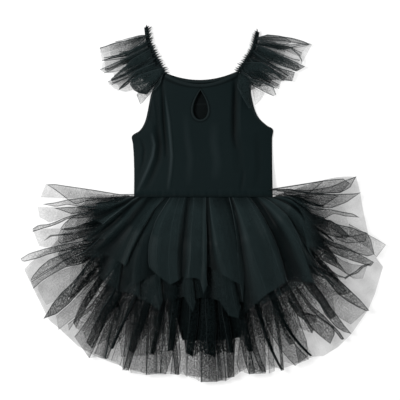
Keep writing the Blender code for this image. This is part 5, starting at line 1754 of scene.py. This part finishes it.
def gather_frill(side, part, finish):
    sleeve, frill, front = SLEEVES[side], FRILLS[part], part == "front"
    dice = random.Random(f"{side} {part}")
    bm = bmesh.new()
    folds = sleeve.folds if front else [fold._replace(plies=SHEER) for fold in sleeve.folds[frill.first:]]
    edge = frill_edge(sleeve, frill.reach)
    lines = fold_fingers(folds, FRILL_ROWS, edge, Plies(*FRILL_PLIES), FRILL_STRAY, dice)
    lines = [thinner_at_top(line, sleeve) for line in lines]
    level = frill_level(frill, frill.root_base, frill.root_depth, front)
    header = header_lines(sleeve, HEADER_ROWS, dice)
    header_level = frill_level(frill, frill.header_base, frill.header_depth, front)
    for some, at, turned in ((lines, level, side == "left"), (header, header_level, side == "right")):
        rows, columns = sheet_rows(some, at, FRILL_STEP, FRILL_WAVE, dice)
        if turned:
            rows, columns = [row[::-1] for row in rows], columns[::-1]
        add_sheet(bm, rows, columns, FRILL_COVER, FRILL_BUNCHED, FRILL_DENSE_TO)
    for leaf in FRILL_LEAVES[side] if front else ():
        add_leaf(bm, leaf, own_share, level, FRILL_COVER, dice)
    name = f"sleeve_{side}_{part}"
    piece = new_piece("net_" + name, bm, finish, name)


# ---------------------------------------------------------------- looks that can be changed
def as_number(name, description, default, unit="NONE"):
    return FloatProperty(name=name, description=description, default=default, unit=unit)


def as_length(name, description, default):
    return as_number(name, description, default, "LENGTH")


def as_colour(name, description, *default):
    return FloatVectorProperty(name=name, description=description, default=default, subtype="COLOR")


class NetLooks(bpy.types.PropertyGroup):
    """How the tulle net looks."""

    pitch: as_length("Mesh", "Distance between the net's holes", 0.0019)
    thread: as_number("Thread", "Half the thread's width, as a share of the mesh", 0.16)
    thread_share: as_number("Thread share", "Share of the net that thread covers", 0.6)
    mottle_size: as_length("Speckle size", "Size of the bunched spots", 0.0032)
    mottle: as_number("Speckle", "How strongly the net's density varies", 2.4)
    fold_line: as_length("Fold line", "Half the width of the dark line along a fold", 0.0015)
    fold_dark: as_number("Fold darkness", "How much that line covers", 0.72)
    dense_from: as_number("Dense from", "Cover above which the net reads as cloth", 0.7)
    streak_width: as_length("Streak width", "Width of the fine pleats", 0.0034)
    streaks: as_number("Streaks", "How strongly the fine pleats show", 0.9)
    # Painted light and shade: colour is the net lit where it stands up, valley the same net shaded deep in a
    # fold.
    colour: as_colour("Colour", "The net where it stands up", 0.0104, 0.0184, 0.0194)
    valley: as_colour("Valley", "The net deep in a fold", 0.0010, 0.0032, 0.0036)
    # Painted highlight: the colour along a fold is lighter than the net, as if its edge caught the light.
    fold_highlight_colour: as_colour("Fold colour", "Colour along a fold", 0.040, 0.054, 0.057)
    # Painted shade: the lower tiers, their leaves, the hidden tiers and the second tier are darker copies of
    # one net, in the shade of those above.
    outer_shade_dim: as_number("Outer tiers", "How bright the lower tiers are beside the upper", 0.27)
    second_shade_dim: as_number("Second tier", "How bright the second tier is beside the top one", 0.62)
    gloss: as_number("Roughness", "How matt the net is", 0.5)
    shine: as_number("Shine", "How strongly the thread reflects", 0.06)
    sheen: as_number("Sheen", "Soft light at the edges of the folds", 0.015)


class ClothLooks(bpy.types.PropertyGroup):
    """How the jersey and its bindings look."""

    wale: as_length("Stitch width", "Width of a column of stitches", 0.0011)
    course: as_length("Stitch height", "Height of a stitch", 0.0008)
    colour: as_colour("Colour", "The lit fibres", 0.0046, 0.0098, 0.0106)
    # Painted shade: the cloth's inner side, seen down through the keyhole, is darkened as if in shade.
    inside: as_number("Inside", "How bright the cloth's wrong side is beside its face", 0.3)
    shade: as_colour("Shade", "The cloth between them", 0.0024, 0.0060, 0.0066)
    # Painted shade and highlight: groove is the cloth shaded deep in a fold, ridge the cloth lit along a
    # fold's crest.
    groove: as_colour("Groove", "The cloth deep in a fold", 0.0004, 0.0018, 0.0020)
    ridge_highlight: as_colour("Ridge", "The cloth along a fold's crest", 0.0200, 0.0290, 0.0310)


class StageLooks(bpy.types.PropertyGroup):
    """The white surface, the lights and the camera."""

    floor: as_colour("Floor", "Colour of the surface", 0.45, 0.45, 0.45)
    glow: as_number("Glow", "How strongly the surface shines by itself", 0.55)
    world: as_number("Room light", "Strength of the even light", 0.42)
    key: as_number("Window", "Power of the large light", 92.0, "POWER")
    field: as_length("Field", "Width of the camera's view", 0.72)
    distance: as_length("Camera height", "Height of the camera", 5.0)


class TUTU_OT_bodice(bpy.types.Operator):
    """Sews the leotard's front and back"""

    bl_idname = "tutu.bodice"
    bl_label = "Sew the bodice"

    def execute(self, context):
        looks = context.scene.tutu_cloth
        sew_bodice(knit_finish("jersey", looks), knit_finish("jersey_inside_shaded", looks, looks.inside))
        return {"FINISHED"}


class TUTU_OT_bindings(bpy.types.Operator):
    """Binds the neck, the armholes and the keyhole"""

    bl_idname = "tutu.bindings"
    bl_label = "Bind the edges"

    def execute(self, context):
        bind_edges(elastic_finish("binding", context.scene.tutu_cloth))
        return {"FINISHED"}


class TUTU_OT_brief(bpy.types.Operator):
    """Sews the two halves of the brief"""

    bl_idname = "tutu.brief"
    bl_label = "Sew the brief"

    def execute(self, context):
        # The brief is a darker copy of the jersey, its painted shade under the net.
        sew_brief(knit_finish("jersey_brief", context.scene.tutu_cloth, BRIEF_SHADE_DIM))
        return {"FINISHED"}


class TUTU_OT_straps(bpy.types.Operator):
    """Folds the two straps"""

    bl_idname = "tutu.straps"
    bl_label = "Fold the straps"

    def execute(self, context):
        fold_straps(elastic_finish("elastic", context.scene.tutu_cloth))
        return {"FINISHED"}


class TUTU_OT_skirt(bpy.types.Operator):
    """Gathers the skirt's four tiers, front and back"""

    bl_idname = "tutu.skirt"
    bl_label = "Gather the skirt"

    def execute(self, context):
        looks = context.scene.tutu_net
        second, outer = looks.second_shade_dim, looks.outer_shade_dim
        # Lit and shaded copies of one net: each dim paints how much light a tier gets.
        finishes = {
            "tier_1_front": net_finish("tulle_top", looks, dim=0.8, speckled=0.2, pleated=0.35),
            "tier_2_front": net_finish("tulle_second", looks, dim=second, speckled=0.2, pleated=0.5),
            "tier_3_front": net_finish("tulle_third", looks, dim=outer, speckled=2.2, pleated=2.6),
            "tier_4_front": net_finish("tulle_longest", looks, dim=outer, speckled=2.2, pleated=1.0),
        }
        behind = net_finish("tulle_behind", looks, dim=outer, speckled=0.25, pleated=0.1)
        leaves = net_finish("tulle_leaves", looks, dim=outer, speckled=1.1, pleated=0.3)
        for name in TIERS:
            gather_tier(name, finishes.get(name, behind), leaves)
        return {"FINISHED"}


class TUTU_OT_frills(bpy.types.Operator):
    """Gathers the frills on the straps"""

    bl_idname = "tutu.frills"
    bl_label = "Gather the frills"

    def execute(self, context):
        looks = context.scene.tutu_net
        finish = net_finish("tulle_frills", looks, dim=0.7, speckled=0.9, pleated=0.8, lined=0.2)
        for side in SLEEVES:
            for part in FRILLS:
                gather_frill(side, part, finish)
        return {"FINISHED"}


class TUTU_OT_stage(bpy.types.Operator):
    """Lays the white surface and sets the lights and the camera"""

    bl_idname = "tutu.stage"
    bl_label = "Set the stage"

    def execute(self, context):
        looks = context.scene.tutu_stage
        bm = bmesh.new()
        bmesh.ops.create_grid(bm, x_segments=1, y_segments=1, size=FLOOR_HALF)
        mesh = bpy.data.meshes.new("surface")
        bm.to_mesh(mesh)
        bm.free()
        mesh.materials.append(floor_finish(looks.floor, looks.glow))
        place_in_scene("surface", mesh, (0.0, 0.0, CAD_BOX[0][2]))

        for name, share, size, place in LIGHTS:
            light = bpy.data.lights.new(name, "AREA")
            light.shape = "DISK"
            light.size = size
            light.energy = looks.key * share
            lamp = place_in_scene(name, light, place)
            lamp.rotation_euler = Vector(place).to_track_quat("Z", "Y").to_euler()

        scene = context.scene
        scene.world = scene.world or bpy.data.worlds.new("room")
        scene.world.use_nodes = True
        room = scene.world.node_tree.nodes["Background"]
        room.inputs["Color"].default_value = (1.0, 1.0, 1.0, 1.0)
        room.inputs["Strength"].default_value = looks.world

        lens = bpy.data.cameras.new("camera")
        lens.sensor_width = SENSOR_WIDTH
        lens.lens = lens.sensor_width * looks.distance / looks.field
        above = (VIEW_CENTRE[0] * MM, VIEW_CENTRE[1] * MM, looks.distance)
        scene.camera = place_in_scene("camera", lens, above)
        scene.view_settings.view_transform = "Standard"
        scene.cycles.transparent_max_bounces = 48
        return {"FINISHED"}


OPERATORS = (
    TUTU_OT_bodice,
    TUTU_OT_bindings,
    TUTU_OT_brief,
    TUTU_OT_straps,
    TUTU_OT_skirt,
    TUTU_OT_frills,
    TUTU_OT_stage,
)


class TUTU_PT_panel(bpy.types.Panel):
    """The dress's settings and its pieces"""

    bl_label = "Tutu dress"
    bl_idname = "TUTU_PT_panel"
    bl_space_type = "VIEW_3D"
    bl_region_type = "UI"
    bl_category = "Tutu dress"

    def draw(self, context):
        scene = context.scene
        for looks in (scene.tutu_net, scene.tutu_cloth, scene.tutu_stage):
            column = self.layout.column()
            for name in looks.__annotations__:
                column.prop(looks, name)
        for operator in OPERATORS:
            self.layout.operator(operator.bl_idname)


CLASSES = (NetLooks, ClothLooks, StageLooks, *OPERATORS, TUTU_PT_panel)


def register():
    for item in CLASSES:
        bpy.utils.register_class(item)
    bpy.types.Scene.tutu_net = PointerProperty(type=NetLooks)
    bpy.types.Scene.tutu_cloth = PointerProperty(type=ClothLooks)
    bpy.types.Scene.tutu_stage = PointerProperty(type=StageLooks)


def unregister():
    del bpy.types.Scene.tutu_net, bpy.types.Scene.tutu_cloth, bpy.types.Scene.tutu_stage
    for item in reversed(CLASSES):
        bpy.utils.unregister_class(item)


def main():
    register()
    bpy.ops.tutu.bodice()
    bpy.ops.tutu.bindings()
    bpy.ops.tutu.brief()
    bpy.ops.tutu.straps()
    bpy.ops.tutu.skirt()
    bpy.ops.tutu.frills()
    bpy.ops.tutu.stage()


if __name__ == "__main__":
    main()
